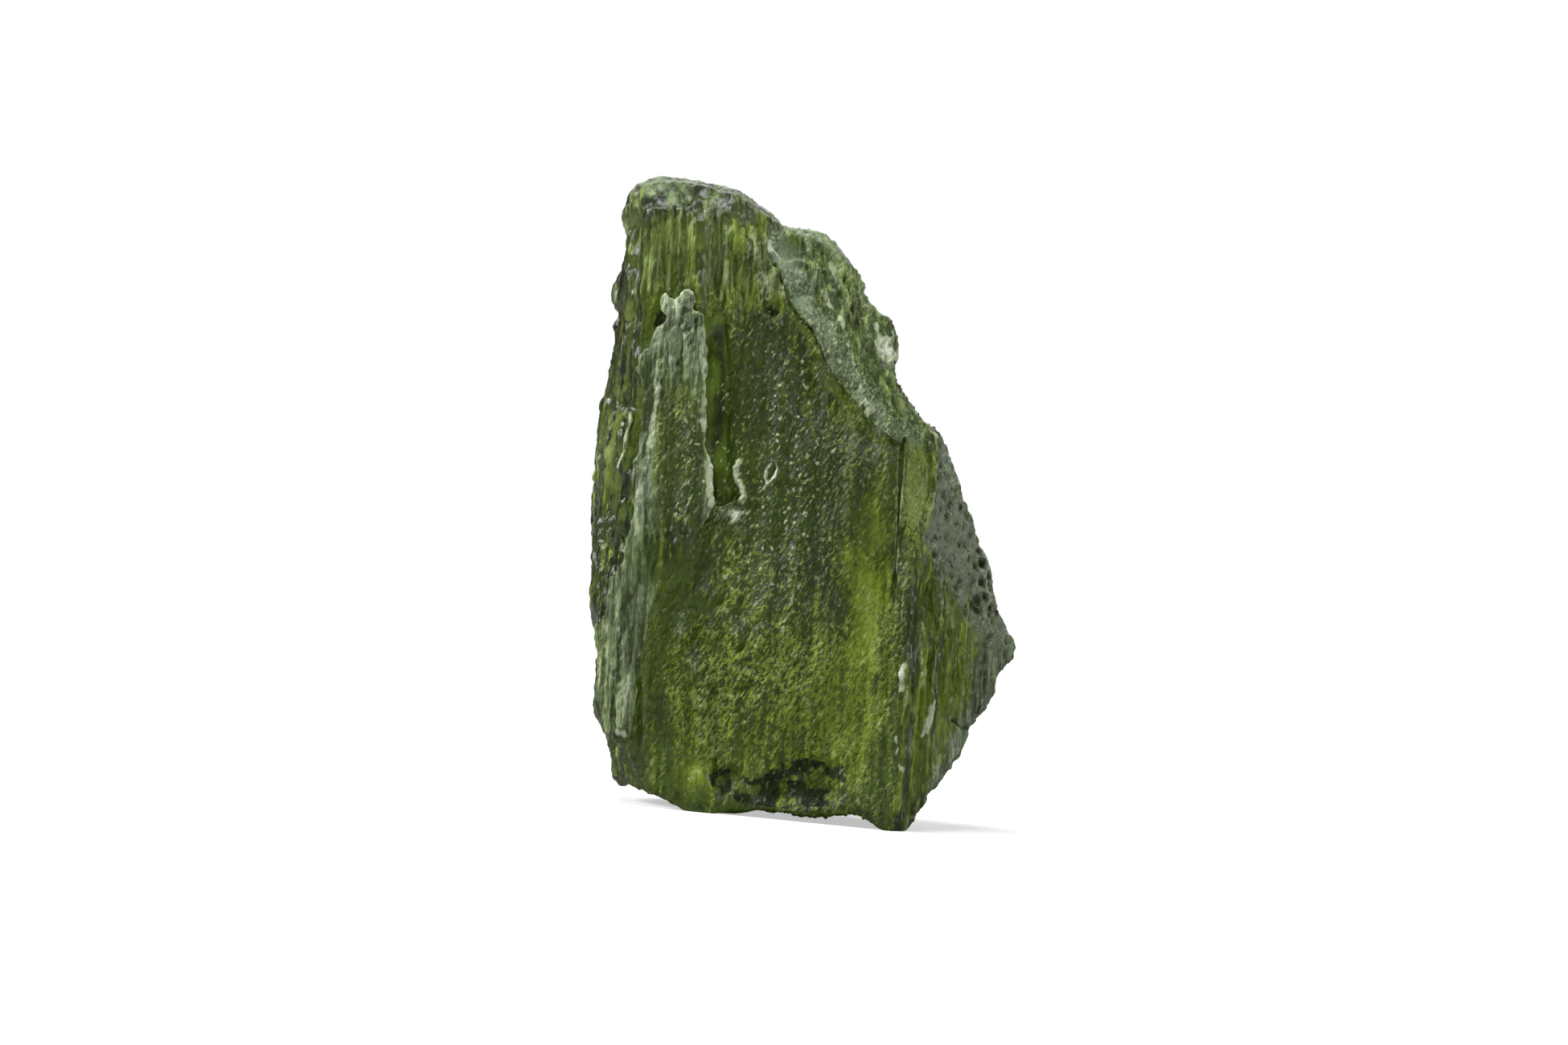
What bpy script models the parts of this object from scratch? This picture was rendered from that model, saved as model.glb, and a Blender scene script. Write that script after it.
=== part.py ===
"""Moldavite: one rough splinter of natural green glass, standing on the two low points of its lower edge.

The stone is drawn upright and in millimetres: u runs to the right, depth from the front (negative) to the
back, and v up from the lowest tip. At the end it is leaned onto its two low points, worn flat there, set with
the middle of its base box on the origin, and brought to metres.
"""

from math import pi, radians

import bmesh
import bpy
import numpy as np
from mathutils import Matrix, Vector, noise
from mathutils.geometry import normal

MILLIMETRE = 0.001

# Driving sizes, in millimetres and degrees
SLAB_DEPTH = 16.0  # the outline is drawn through more than the stone's own depth
REST_LEAN = 5.6  # how far the upright stone leans to the left to stand on both of its low points
REST_WEAR = 0.16  # how much of each low point is worn flat
REST_POINTS = (((-3.6, 0.8), (1.6, 1.0)), ((4.1, 0.1), (1.6, 1.0)))  # middle (u, v) and reach of each one
REST_CALM = 0.85  # the share of the relief that is left out there
MIDDLE = Vector((0.0, -0.2, 12.0))  # a point well inside the stone
BLOCK_SIZE = 80.0  # the rough block that is broken down to the stone

FIRST_GRAIN = 0.26  # voxel of the broken block
DIRECTION_BLUR = 4  # rounds of blurring, so that no edge between two faces turns into teeth
SECOND_GRAIN = 0.20  # voxel of the carved stone
TRIANGLES = 9200
GLASS_COLOUR = (0.09, 0.125, 0.035, 1.0)
SNAP = 0.003  # points this close to the worn flats are put on them
GLASS_ROUGHNESS = 0.38
GLASS_IOR = 1.49
SMOOTH_ANGLE = 35.0  # edges sharper than this stay crisp when shaded

# Which side a spot belongs to, from the share of its own direction that points there
FRONT_OR_BACK = (0.12, 0.5)
UNDERSIDE = (0.4, 0.9)
TOP = (0.3, 0.8)

# The outline seen from the front, (u, v), from the lowest tip round to the left and over the top
OUTLINE = (
    (4.4, 0.0), (4.1, 0.03), (3.6, 0.2), (3.1, 0.55), (2.8, 0.75), (1.0, 0.78), (-0.5, 0.92), (-2.5, 0.98),
    (-3.1, 0.9), (-3.6, 0.77), (-4.1, 0.95), (-4.5, 1.15), (-5.4, 1.6), (-6.0, 1.85), (-6.8, 1.95),
    (-7.1, 2.2), (-7.3, 3.0), (-7.45, 4.0), (-7.78, 4.7), (-7.66, 6.5), (-7.6, 7.9), (-7.88, 8.4),
    (-7.95, 10.0), (-8.0, 11.5), (-7.9, 13.9), (-8.0, 14.8), (-7.6, 16.2), (-7.45, 17.5), (-7.15, 18.8),
    (-7.0, 20.0), (-7.0, 21.3), (-6.7, 22.4), (-6.45, 23.4), (-6.5, 24.0), (-6.75, 24.5), (-6.4, 25.0),
    (-6.42, 25.5), (-6.0, 25.75), (-5.0, 26.0), (-4.0, 25.9), (-2.5, 25.5), (-1.95, 25.35), (-1.5, 24.9),
    (-0.7, 24.55), (-0.1, 24.05), (1.0, 23.7), (2.0, 23.0), (2.55, 22.0), (2.8, 21.4), (3.2, 20.7),
    (3.6, 20.3), (4.0, 19.6), (4.22, 19.0), (4.02, 18.0), (4.45, 17.1), (4.6, 16.7), (5.0, 16.25),
    (5.9, 15.8), (6.3, 15.35), (6.6, 14.2), (7.2, 12.5), (7.4, 11.6), (7.75, 10.9), (8.38, 9.2),
    (8.85, 8.0), (9.15, 6.95), (8.95, 6.55), (8.05, 5.2), (7.6, 4.5), (7.0, 4.0), (6.5, 2.9), (6.0, 2.2),
    (5.6, 1.7), (5.2, 0.9), (4.9, 0.7),
)

# The fracture faces, each through three points (u, depth, v)
FACETS = {
    "front": ((-6.0, -3.9, 20.0), (4.2, -4.1, 13.0), (-2.0, -4.2, 2.0)),
    "left flank": ((-6.1, -3.8, 22.5), (-7.3, -4.0, 7.0), (-7.9, -0.8, 14.0)),
    "heel": ((-7.0, -3.9, 4.1), (-5.9, -4.2, 2.4), (-7.4, -1.4, 3.0)),
    "upper right": ((0.1, -3.95, 20.8), (4.3, -4.1, 15.2), (3.4, -1.9, 20.3)),
    "right": ((5.0, -3.95, 11.4), (8.5, 0.7, 7.2), (7.1, -0.4, 12.5)),
    "lower right": ((4.2, -4.1, 3.0), (5.0, -3.95, 11.4), (6.7, -1.0, 3.2)),
    "top": ((-6.0, -3.85, 24.7), (-2.0, -3.9, 24.6), (-4.0, -2.2, 26.0)),
    "back": ((-6.0, 3.7, 6.0), (6.0, 4.1, 6.0), (-3.0, 3.0, 20.0)),
    "back left": ((-3.4, 3.8, 5.0), (-3.2, 3.0, 19.0), (-7.9, 0.3, 11.0)),
    "back right": ((2.6, 4.1, 5.0), (1.0, 3.2, 17.0), (8.7, 2.3, 7.0)),
    "back upper right": ((-1.0, 2.9, 20.0), (4.4, 2.9, 14.5), (3.2, 0.9, 20.7)),
    "back lower right": ((3.0, 3.95, 5.0), (8.7, 2.2, 7.0), (5.4, 1.4, 1.3)),
    "back foot": ((-5.0, 3.85, 5.5), (5.0, 4.0, 4.5), (0.0, 2.3, 0.0)),
    "back top": ((-6.0, 2.9, 19.5), (2.0, 2.9, 20.5), (-4.2, -0.6, 26.0)),
}

# The frosty skin left standing on the front, (u, v): a narrow knobbed head that widens into the left foot
SKIN_PLATE = (
    (-5.2, 21.2), (-4.6, 21.05), (-4.1, 21.45), (-3.8, 21.3), (-3.85, 20.9), (-3.45, 20.5), (-3.4, 19.0),
    (-3.45, 17.0), (-3.4, 15.0), (-3.1, 13.1), (-3.9, 11.5), (-5.4, 9.5), (-6.0, 7.0), (-6.2, 5.0),
    (-6.35, 4.05), (-7.0, 3.9), (-7.7, 4.2), (-7.9, 6.0), (-7.6, 8.0), (-7.1, 10.0), (-6.5, 11.4),
    (-6.3, 14.0), (-5.95, 16.0), (-5.8, 17.5), (-6.05, 18.8), (-5.6, 19.2), (-5.0, 20.1), (-4.95, 20.9),
)
PLATE_RISE = 0.48
PLATE_EDGE = 0.26

# The smooth groove beside the skin, (u, v), square at its foot
SMOOTH_GROOVE = ((-3.3, 20.6), (-2.3, 20.4), (-2.15, 17.0), (-2.2, 13.1), (-3.1, 13.05), (-3.4, 15.5))
GROOVE_DEPTH = 0.45
GROOVE_BANK = (-0.15, 0.55)  # its banks fall over these distances from its outline

# The lower left edge of the upper right skin, (u, v), which stands over the dark middle of the front
SKIN_EDGE = (
    (-0.9, 23.2), (-0.5, 22.4), (0.0, 21.0), (0.8, 20.0), (1.3, 19.0), (1.8, 18.0), (2.4, 17.2), (3.4, 16.0),
    (4.3, 15.3),
)
SKIN_EDGE_RISE = 0.42
SKIN_EDGE_BANK = (-0.15, 0.2)  # its bank falls over these distances from it
SKIN_EDGE_FLOOR = 0.6  # where the hollow below it is deepest
SKIN_EDGE_REACH = 3.2  # how far the hollow below the edge runs into the front
SKIN_EDGE_FOOT = (14.5, 16.5)  # the edge fades in over these heights
SKIN_EDGE_HEAD = (22.3, 23.3)  # and out over these

# The furrow between the front and the right faces, (u, v)
FURROW = ((4.3, 15.6), (4.15, 13.5), (4.1, 11.5), (4.0, 9.0))
FURROW_DEPTH = 0.42
FURROW_HALF_WIDTH = 0.38

# Shallow scoops in the front: middle (u, v), half sizes, depth
SCOOPS = (
    ((4.85, 13.5), (0.6, 2.1), 0.26),
    ((-0.3, 22.95), (0.75, 0.5), 0.3),
    ((-3.55, 24.6), (0.55, 0.5), 0.22),
    ((0.4, 21.4), (0.5, 0.5), 0.22),
    ((-0.6, 20.7), (0.6, 0.3), 0.3),
    ((-5.25, 20.35), (0.35, 0.55), 0.3),
    ((-2.5, 2.3), (0.45, 0.55), 0.3),
    ((-0.6, 1.7), (1.1, 0.45), 0.35),
    ((1.2, 1.8), (0.9, 0.7), 0.4),
    ((-1.5, 16.5), (1.0, 4.0), 0.2),
    ((5.35, 8.8), (0.35, 1.3), 0.35),
    ((6.1, 6.2), (0.5, 1.4), 0.3),
)

# Low swellings of the front: middle (u, v), half sizes, height
SWELLINGS = (
    ((-3.6, 2.1), (0.7, 0.8), 0.28),
    ((-2.4, 12.5), (0.5, 0.5), 0.25),
    ((-0.5, 7.0), (3.4, 4.5), 0.35),
    ((4.5, 6.2), (0.35, 2.2), 0.22),
    ((5.2, 3.2), (0.35, 1.8), 0.2),
)

# The furrows that etching left on the back: start and end (u, v), half width, depth
BACK_FURROWS = (
    ((-5.6, 20.5), (-6.0, 9.0), 0.7, 0.42),
    ((-3.6, 24.0), (-3.9, 12.5), 0.8, 0.5),
    ((-1.4, 22.0), (-1.9, 4.0), 0.75, 0.45),
    ((0.9, 21.0), (0.4, 10.0), 0.8, 0.5),
    ((2.9, 18.0), (2.3, 3.0), 0.85, 0.5),
    ((5.3, 14.5), (4.6, 3.5), 0.75, 0.42),
    ((-4.6, 10.5), (-4.2, 2.6), 0.7, 0.38),
    ((7.3, 10.5), (6.6, 5.0), 0.6, 0.35),
)

FLOW_LEAN = 0.06  # the flow lines of the glass lean this far to the right for each step up
FLOW_MIDDLE = 12.0  # the height at which they stand at their own u
FLUTE_PITCH = 1.12
FLUTE_HEIGHT = 0.06
FLUTE_WANDER = 1.1  # how far the flutes stray, in radians of their own wave
FLUTE_GRAIN = (2.0, 2.0, 6.0)
RIGHT_FLUTES = 0.16  # what the lower right face adds to their height, and where it begins
RIGHT_FLUTES_FROM = (4.2, 5.0)
RIGHT_FLUTES_HEAD = (9.5, 12.0)
LEFT_FLUTES = 0.12  # what the left flank adds, and where it begins
LEFT_FLUTES_FROM = (-7.0, -6.2)

# The pitted skin of the right face begins right of this line, (u, v), and has pits of this size and depth
PITTED_FROM = ((5.3, 14.5), (5.2, 12.0), (6.7, 8.8), (8.6, 7.2))
PIT_SIZE = (1.3, 1.3, 1.3)
PIT_DEPTH = 0.32

# The wrinkled patch under the groove: middle (u, v), half sizes, height and grain of its wrinkles
WRINKLED = ((-3.0, 8.6), (3.0, 3.2))
WRINKLE_HEIGHT = 0.18
WRINKLE_SIZE = (1.0, 1.0, 0.7)

# The stone's edge: how deep its widest line lies and how far it strays, and how fast the sides draw in before
# and behind it
RIM_DEPTH = -0.6
RIM_WANDER = 0.8
RIM_GRAIN = (3.0, 8.0, 3.0)
RIM_FALL = 0.075
SIDE_SWELL = 0.34  # what the sides gain before pits and grooves take it away again

# The etched pits and long grooves of the sides and the back: sizes along u, depth and v, and depth
SIDE_PIT_SIZE = (1.9, 1.6, 2.3)
SIDE_PIT_DEPTH = 0.42
SIDE_GROOVE_SIZE = (1.5, 1.3, 4.5)
SIDE_GROOVE_DEPTH = 0.3
BACK_PIT_SIZE = (2.1, 2.1, 2.6)
BACK_PIT_DEPTH = 0.34
BACK_WANDER = 0.5  # how far the back's furrows stray from their lines
BACK_WANDER_GRAIN = (3.0, 3.0, 5.0)

# Low unevenness all over: grain size and height
SWELL_SIZE = (2.6, 2.6, 6.5)
SWELL_HEIGHT = 0.2
LUMP_SIZE = (1.1, 1.1, 1.8)
LUMP_HEIGHT = 0.11


def clear_scene():
    for obj in list(bpy.data.objects):
        bpy.data.objects.remove(obj, do_unlink=True)


def new_collection(name):
    collection = bpy.data.collections.new(name)
    bpy.context.scene.collection.children.link(collection)
    return collection


def outline_slab(cutters):
    """The stone's outline, drawn straight through from front to back."""
    curve = bpy.data.curves.new("outline", "CURVE")
    curve.dimensions = "2D"
    curve.fill_mode = "BOTH"
    curve.extrude = SLAB_DEPTH / 2
    spline = curve.splines.new("POLY")
    spline.points.add(len(OUTLINE) - 1)
    for point, (u, v) in zip(spline.points, OUTLINE):
        point.co = (u, v, 0.0, 1.0)
    spline.use_cyclic_u = True
    drawn = bpy.data.objects.new("outline", curve)
    cutters.objects.link(drawn)
    graph = bpy.context.evaluated_depsgraph_get()
    mesh = bpy.data.meshes.new_from_object(drawn.evaluated_get(graph))
    mesh.transform(Matrix.Rotation(radians(90.0), 4, "X"))
    bm = bmesh.new()
    bm.from_mesh(mesh)
    bmesh.ops.remove_doubles(bm, verts=bm.verts, dist=0.001)
    bmesh.ops.recalc_face_normals(bm, faces=bm.faces)
    bm.to_mesh(mesh)
    bm.free()
    bpy.data.objects.remove(drawn)
    slab = bpy.data.objects.new("outline_slab", mesh)
    cutters.objects.link(slab)
    slab.hide_render = True
    slab.display_type = "WIRE"
    return slab


def broken_block():
    """A block broken off along each fracture face in turn."""
    bm = bmesh.new()
    bmesh.ops.create_cube(bm, size=BLOCK_SIZE, matrix=Matrix.Translation(MIDDLE))
    for points in FACETS.values():
        corners = [Vector(point) for point in points]
        facing = normal(corners)
        if facing.dot(MIDDLE - corners[0]) > 0:
            facing.negate()
        every = bm.verts[:] + bm.edges[:] + bm.faces[:]
        cut = bmesh.ops.bisect_plane(
            bm, geom=every, plane_co=corners[0], plane_no=facing, clear_outer=True
        )
        rim = [item for item in cut["geom_cut"] if isinstance(item, bmesh.types.BMEdge)]
        bmesh.ops.edgeloop_fill(bm, edges=rim)
    bmesh.ops.recalc_face_normals(bm, faces=bm.faces)
    mesh = bpy.data.meshes.new("moldavite")
    bm.to_mesh(mesh)
    bm.free()
    return mesh


def add_voxels(obj, size):
    remesh = obj.modifiers.new("grain", "REMESH")
    remesh.mode = "VOXEL"
    remesh.voxel_size = size
    remesh.use_smooth_shade = True


def bake_modifiers(obj):
    """Turns the object's modifiers into its mesh."""
    bpy.context.view_layer.update()
    graph = bpy.context.evaluated_depsgraph_get()
    baked = bpy.data.meshes.new_from_object(obj.evaluated_get(graph))
    obj.modifiers.clear()
    old = obj.data
    obj.data = baked
    bpy.data.meshes.remove(old)


def ease(value, low, high):
    """0 below low, 1 above high, and a smooth rise between them."""
    share = np.clip((value - low) / (high - low), 0.0, 1.0)
    return share * share * (3.0 - 2.0 * share)


def distance_to_path(uv, path):
    """Distance of each point from a path, and how far along the path its nearest spot lies, 0 to 1."""
    stops = np.array(path)
    lengths = np.linalg.norm(np.diff(stops, axis=0), axis=1)
    travelled = np.concatenate([[0.0], np.cumsum(lengths)])
    nearest = np.full(len(uv), np.inf)
    along = np.zeros(len(uv))
    for start, end, begun, length in zip(stops[:-1], stops[1:], travelled, lengths):
        step = end - start
        share = np.clip(((uv - start) @ step) / length**2, 0.0, 1.0)
        away = np.linalg.norm(uv - start - share[:, None] * step, axis=1)
        closer = away < nearest
        nearest[closer] = away[closer]
        along[closer] = (begun + share[closer] * length) / travelled[-1]
    return nearest, along


def depth_inside(uv, outline):
    """Distance of each point from a closed outline, positive inside it."""
    closed = list(outline) + [outline[0]]
    away, _ = distance_to_path(uv, closed)
    inside = np.zeros(len(uv), bool)
    for (u0, v0), (u1, v1) in zip(closed[:-1], closed[1:]):
        crosses = (v0 > uv[:, 1]) != (v1 > uv[:, 1])
        at_u = u0 + (uv[:, 1] - v0) * (u1 - u0) / (v1 - v0 if v1 != v0 else 1.0)
        inside ^= crosses & (uv[:, 0] < at_u)
    return np.where(inside, away, -away)


def side_of_path(uv, path):
    """Distance from an open path that runs down, positive on its right."""
    away, _ = distance_to_path(uv, path)
    stops = sorted(path, key=lambda stop: stop[1])
    at_u = np.interp(uv[:, 1], [stop[1] for stop in stops], [stop[0] for stop in stops])
    return np.where(uv[:, 0] > at_u, away, -away)


def grain(points, size, seed):
    """Smooth noise from -1 to 1, with its own grain size along u, depth and v."""
    scaled = points / np.array(size) + seed * 7.3
    return np.array([noise.noise(Vector(point)) for point in scaled])


def pits(points, size, seed):
    """Rounded pits side by side: 0 on their rims and 1 in their middles."""
    scaled = points / np.array(size) + seed * 5.1
    nearest = np.array([noise.voronoi(Vector(point))[0][0] for point in scaled])
    return 1.0 - ease(nearest, 0.0, 0.62)


def hollow(uv, middle, half_sizes):
    """1 in the middle of an oval and 0 outside it."""
    reach = np.linalg.norm((uv - np.array(middle)) / np.array(half_sizes), axis=1)
    return 1.0 - ease(reach, 0.35, 1.0)


def front_relief(points, uv):
    """Height of the front's ledges, grooves and flutes over its fracture faces."""
    u, v = uv.T
    across = u - FLOW_LEAN * (v - FLOW_MIDDLE)
    height = PLATE_RISE * ease(depth_inside(uv, SKIN_PLATE), -PLATE_EDGE, PLATE_EDGE)
    height -= GROOVE_DEPTH * ease(depth_inside(uv, SMOOTH_GROOVE), *GROOVE_BANK)
    below = -side_of_path(uv, SKIN_EDGE)
    under_edge = ease(below, *SKIN_EDGE_BANK) * (1.0 - ease(below, SKIN_EDGE_FLOOR, SKIN_EDGE_REACH))
    height -= SKIN_EDGE_RISE * under_edge * ease(v, *SKIN_EDGE_FOOT) * (1.0 - ease(v, *SKIN_EDGE_HEAD))
    away, along = distance_to_path(uv, FURROW)
    height -= FURROW_DEPTH * (1.0 - ease(away, 0.1, FURROW_HALF_WIDTH)) * (1.0 - ease(along, 0.7, 1.0))
    for middle, half_sizes, depth in SCOOPS:
        height -= depth * hollow(uv, middle, half_sizes)
    for middle, half_sizes, rise in SWELLINGS:
        height += rise * hollow(uv, middle, half_sizes)
    right = ease(across, *RIGHT_FLUTES_FROM) * (1.0 - ease(v, *RIGHT_FLUTES_HEAD))
    left = 1.0 - ease(across, *LEFT_FLUTES_FROM)
    flutes = np.sin(across * 2.0 * pi / FLUTE_PITCH + FLUTE_WANDER * grain(points, FLUTE_GRAIN, 1))
    height += (FLUTE_HEIGHT + RIGHT_FLUTES * right + LEFT_FLUTES * left) * flutes
    pitted = ease(side_of_path(uv, PITTED_FROM), 0.0, 0.5) * ease(v, 7.0, 8.0)
    height -= PIT_DEPTH * pitted * pits(points, PIT_SIZE, 2)
    height += WRINKLE_HEIGHT * hollow(uv, *WRINKLED) * grain(points, WRINKLE_SIZE, 3)
    return height


def back_relief(points, uv):
    """Height of the etched furrows and pits of the back."""
    height = -BACK_PIT_DEPTH * pits(points, BACK_PIT_SIZE, 4)
    wander = BACK_WANDER * grain(points, BACK_WANDER_GRAIN, 5)
    for start, end, half_width, depth in BACK_FURROWS:
        away, along = distance_to_path(uv + np.stack([wander, 0.0 * wander], axis=1), (start, end))
        ends = ease(along, 0.0, 0.15) * (1.0 - ease(along, 0.85, 1.0))
        height -= depth * ends * (1.0 - ease(away, 0.1, half_width))
    return height


def side_relief(points, facing):
    """Height of the sides, the top and the underside, which draw in away from the stone's widest line."""
    underside = ease(-facing[:, 2], *UNDERSIDE)
    top = ease(facing[:, 2], *TOP)
    away = points[:, 1] - RIM_DEPTH + RIM_WANDER * grain(points, RIM_GRAIN, 8)
    height = (SIDE_SWELL - RIM_FALL * away**2 * (1.0 + 0.5 * top)) * (1.0 - underside)
    height -= SIDE_PIT_DEPTH * pits(points, SIDE_PIT_SIZE, 9)
    height -= SIDE_GROOVE_DEPTH * (1.0 + grain(points, SIDE_GROOVE_SIZE, 10)) * (1.0 - underside)
    return height


def vertex_arrays(mesh):
    points = np.empty(len(mesh.vertices) * 3)
    facing = np.empty(len(mesh.vertices) * 3)
    mesh.vertices.foreach_get("co", points)
    mesh.vertices.foreach_get("normal", facing)
    return points.reshape(-1, 3), facing.reshape(-1, 3)


def blurred(mesh, directions, times):
    """Each point's direction, averaged with its neighbours' again and again."""
    ends = np.empty(len(mesh.edges) * 2, np.int32)
    mesh.edges.foreach_get("vertices", ends)
    first, second = ends.reshape(-1, 2).T
    for _ in range(times):
        gathered = directions.copy()
        for axis in range(3):
            gathered[:, axis] += np.bincount(first, directions[second, axis], len(directions))
            gathered[:, axis] += np.bincount(second, directions[first, axis], len(directions))
        directions = gathered / np.linalg.norm(gathered, axis=1, keepdims=True)
    return directions


def carve(mesh):
    """Moves each point along the surface's own direction by the relief of the side it is on."""
    points, facing = vertex_arrays(mesh)
    facing = blurred(mesh, facing, DIRECTION_BLUR)
    uv = points[:, [0, 2]]
    front = ease(-facing[:, 1], *FRONT_OR_BACK)
    back = ease(facing[:, 1], *FRONT_OR_BACK)
    height = front * front_relief(points, uv) + back * back_relief(points, uv)
    height += (1.0 - front - back) * side_relief(points, facing)
    height += SWELL_HEIGHT * grain(points, SWELL_SIZE, 6) + LUMP_HEIGHT * grain(points, LUMP_SIZE, 7)
    for middle, reach in REST_POINTS:
        height *= 1.0 - REST_CALM * hollow(uv, middle, reach)
    moved = points + facing * height[:, None]
    mesh.vertices.foreach_set("co", moved.ravel())
    mesh.update()


def keep_largest_piece(mesh):
    """Removes the crumbs and bubbles that carving can pinch off."""
    bm = bmesh.new()
    bm.from_mesh(mesh)
    unseen = set(bm.verts)
    pieces = []
    while unseen:
        front = [unseen.pop()]
        piece = list(front)
        while front:
            linked = {edge.other_vert(vert) for vert in front for edge in vert.link_edges} & unseen
            unseen -= linked
            front = list(linked)
            piece += front
        pieces.append(piece)
    largest = max(pieces, key=len)
    crumbs = [vert for piece in pieces if piece is not largest for vert in piece]
    bmesh.ops.delete(bm, geom=crumbs, context="VERTS")
    bm.to_mesh(mesh)
    bm.free()


def thin_out(obj):
    """Leaves about as many triangles as the stone's look from a step away needs."""
    obj.data.calc_loop_triangles()
    decimate = obj.modifiers.new("fewer_faces", "DECIMATE")
    decimate.ratio = TRIANGLES / len(obj.data.loop_triangles)
    decimate.use_collapse_triangulate = True
    bake_modifiers(obj)


def set_down(mesh):
    """Leans the stone onto its low points, wears them flat and sets its base box's middle on the origin."""
    mesh.transform(Matrix.Rotation(radians(-REST_LEAN), 4, "Y"))
    points, _ = vertex_arrays(mesh)
    floor = points[:, 2].min() + REST_WEAR
    bm = bmesh.new()
    bm.from_mesh(mesh)
    every = bm.verts[:] + bm.edges[:] + bm.faces[:]
    cut = bmesh.ops.bisect_plane(
        bm, geom=every, dist=SNAP, plane_co=(0.0, 0.0, floor), plane_no=(0.0, 0.0, -1.0), clear_outer=True
    )
    for vert in bm.verts:
        if abs(vert.co.z - floor) < 2.0 * SNAP:
            vert.co.z = floor
    rim = [item for item in cut["geom_cut"] if isinstance(item, bmesh.types.BMEdge)]
    bmesh.ops.triangle_fill(bm, edges=rim, use_beauty=True, normal=(0.0, 0.0, -1.0))
    bmesh.ops.dissolve_degenerate(bm, edges=bm.edges, dist=0.01)
    bmesh.ops.triangulate(bm, faces=bm.faces)
    bm.to_mesh(mesh)
    bm.free()
    points, _ = vertex_arrays(mesh)
    low, high = points.min(axis=0), points.max(axis=0)
    middle = (low + high) / 2
    mesh.transform(Matrix.Translation((-middle[0], -middle[1], -low[2])))
    mesh.transform(Matrix.Scale(MILLIMETRE, 4))


def green_glass():
    material = bpy.data.materials.new("green_glass")
    material.use_nodes = True
    shader = material.node_tree.nodes["Principled BSDF"]
    shader.inputs["Base Color"].default_value = GLASS_COLOUR
    shader.inputs["Roughness"].default_value = GLASS_ROUGHNESS
    shader.inputs["Metallic"].default_value = 0.0
    shader.inputs["IOR"].default_value = GLASS_IOR
    material.diffuse_color = GLASS_COLOUR
    return material


def moldavite():
    parts = new_collection("moldavite")
    cutters = new_collection("moldavite_cutters")
    slab = outline_slab(cutters)
    stone = bpy.data.objects.new("moldavite", broken_block())
    parts.objects.link(stone)
    trim = stone.modifiers.new("trim_to_outline", "BOOLEAN")
    trim.operation = "INTERSECT"
    trim.solver = "EXACT"
    trim.object = slab
    add_voxels(stone, FIRST_GRAIN)
    bake_modifiers(stone)
    carve(stone.data)
    add_voxels(stone, SECOND_GRAIN)
    bake_modifiers(stone)
    keep_largest_piece(stone.data)
    thin_out(stone)
    set_down(stone.data)
    bpy.data.objects.remove(slab)
    bpy.data.collections.remove(cutters)
    stone.data.materials.clear()
    stone.data.materials.append(green_glass())
    stone.data.shade_smooth()
    stone.data.set_sharp_from_angle(angle=radians(SMOOTH_ANGLE))
    return stone


clear_scene()
moldavite()
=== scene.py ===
"""Moldavite: the finish of a rough splinter of natural green glass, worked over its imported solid.

Fine shapes are worked in the stone's own frame, in millimetres: u runs to the right, depth from the front
(negative) to the back, and v up, with the stone upright. The row frame, in metres, holds it leaned onto its
two low points.
"""

from math import atan, degrees, radians

import bmesh
import bpy
import numpy as np
from bpy.props import FloatProperty, FloatVectorProperty, IntProperty, PointerProperty
from bpy.types import Operator, Panel, PropertyGroup
from bpy.utils import register_class, unregister_class
from mathutils import Matrix, Vector, noise


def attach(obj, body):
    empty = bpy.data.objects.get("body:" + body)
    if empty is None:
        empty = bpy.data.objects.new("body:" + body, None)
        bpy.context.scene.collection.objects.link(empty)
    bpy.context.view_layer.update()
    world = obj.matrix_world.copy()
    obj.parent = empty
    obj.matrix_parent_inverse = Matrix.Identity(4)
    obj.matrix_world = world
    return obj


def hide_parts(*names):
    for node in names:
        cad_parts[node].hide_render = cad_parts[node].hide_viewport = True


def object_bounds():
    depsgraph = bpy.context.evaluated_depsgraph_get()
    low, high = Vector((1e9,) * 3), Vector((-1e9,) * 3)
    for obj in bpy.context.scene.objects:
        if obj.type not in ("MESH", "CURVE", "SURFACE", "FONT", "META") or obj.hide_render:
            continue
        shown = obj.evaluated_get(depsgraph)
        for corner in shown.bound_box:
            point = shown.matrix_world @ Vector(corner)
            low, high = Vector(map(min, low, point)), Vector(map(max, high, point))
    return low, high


bl_info = {
    "name": "Moldavite",
    "version": (1, 0, 0),
    "blender": (4, 5, 0),
    "location": "View3D > Sidebar > Moldavite",
    "description": "Dresses the rough moldavite splinter and sets it on a pale floor",
    "category": "Object",
}

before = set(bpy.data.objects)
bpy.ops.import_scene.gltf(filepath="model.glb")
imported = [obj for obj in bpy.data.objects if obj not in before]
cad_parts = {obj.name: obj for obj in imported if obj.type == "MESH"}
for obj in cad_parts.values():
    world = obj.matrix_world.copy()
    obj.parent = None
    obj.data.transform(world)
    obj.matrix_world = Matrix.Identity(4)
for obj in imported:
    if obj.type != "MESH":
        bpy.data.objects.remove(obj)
CAD_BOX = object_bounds()
BASE_SINK = 0.00006  # metres that the refined base sinks back onto the floor
BACK_FACING = 0.3  # points that face back more than this are thinned first
FRONT_WEIGHT = 0.01  # at 0 the others would not be thinned at all

MILLIMETRE = 0.001
REST_LEAN = 5.6  # degrees that the upright stone leans to the left as it rests
REST_OFFSET = Vector((-0.496, -0.394, 0.600))  # the row frame's origin in the leaned stone frame
MIDDLE_V = 12.0
FLOW_LEAN = 0.06  # the flow lines of the glass lean this far to the right for each step up
CRUMB_LEAN = 33.0  # degrees that the crumbs of the etched skin lean to the right
PIT_LEAN = -18.0  # and the rows of pits of the right face

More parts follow.
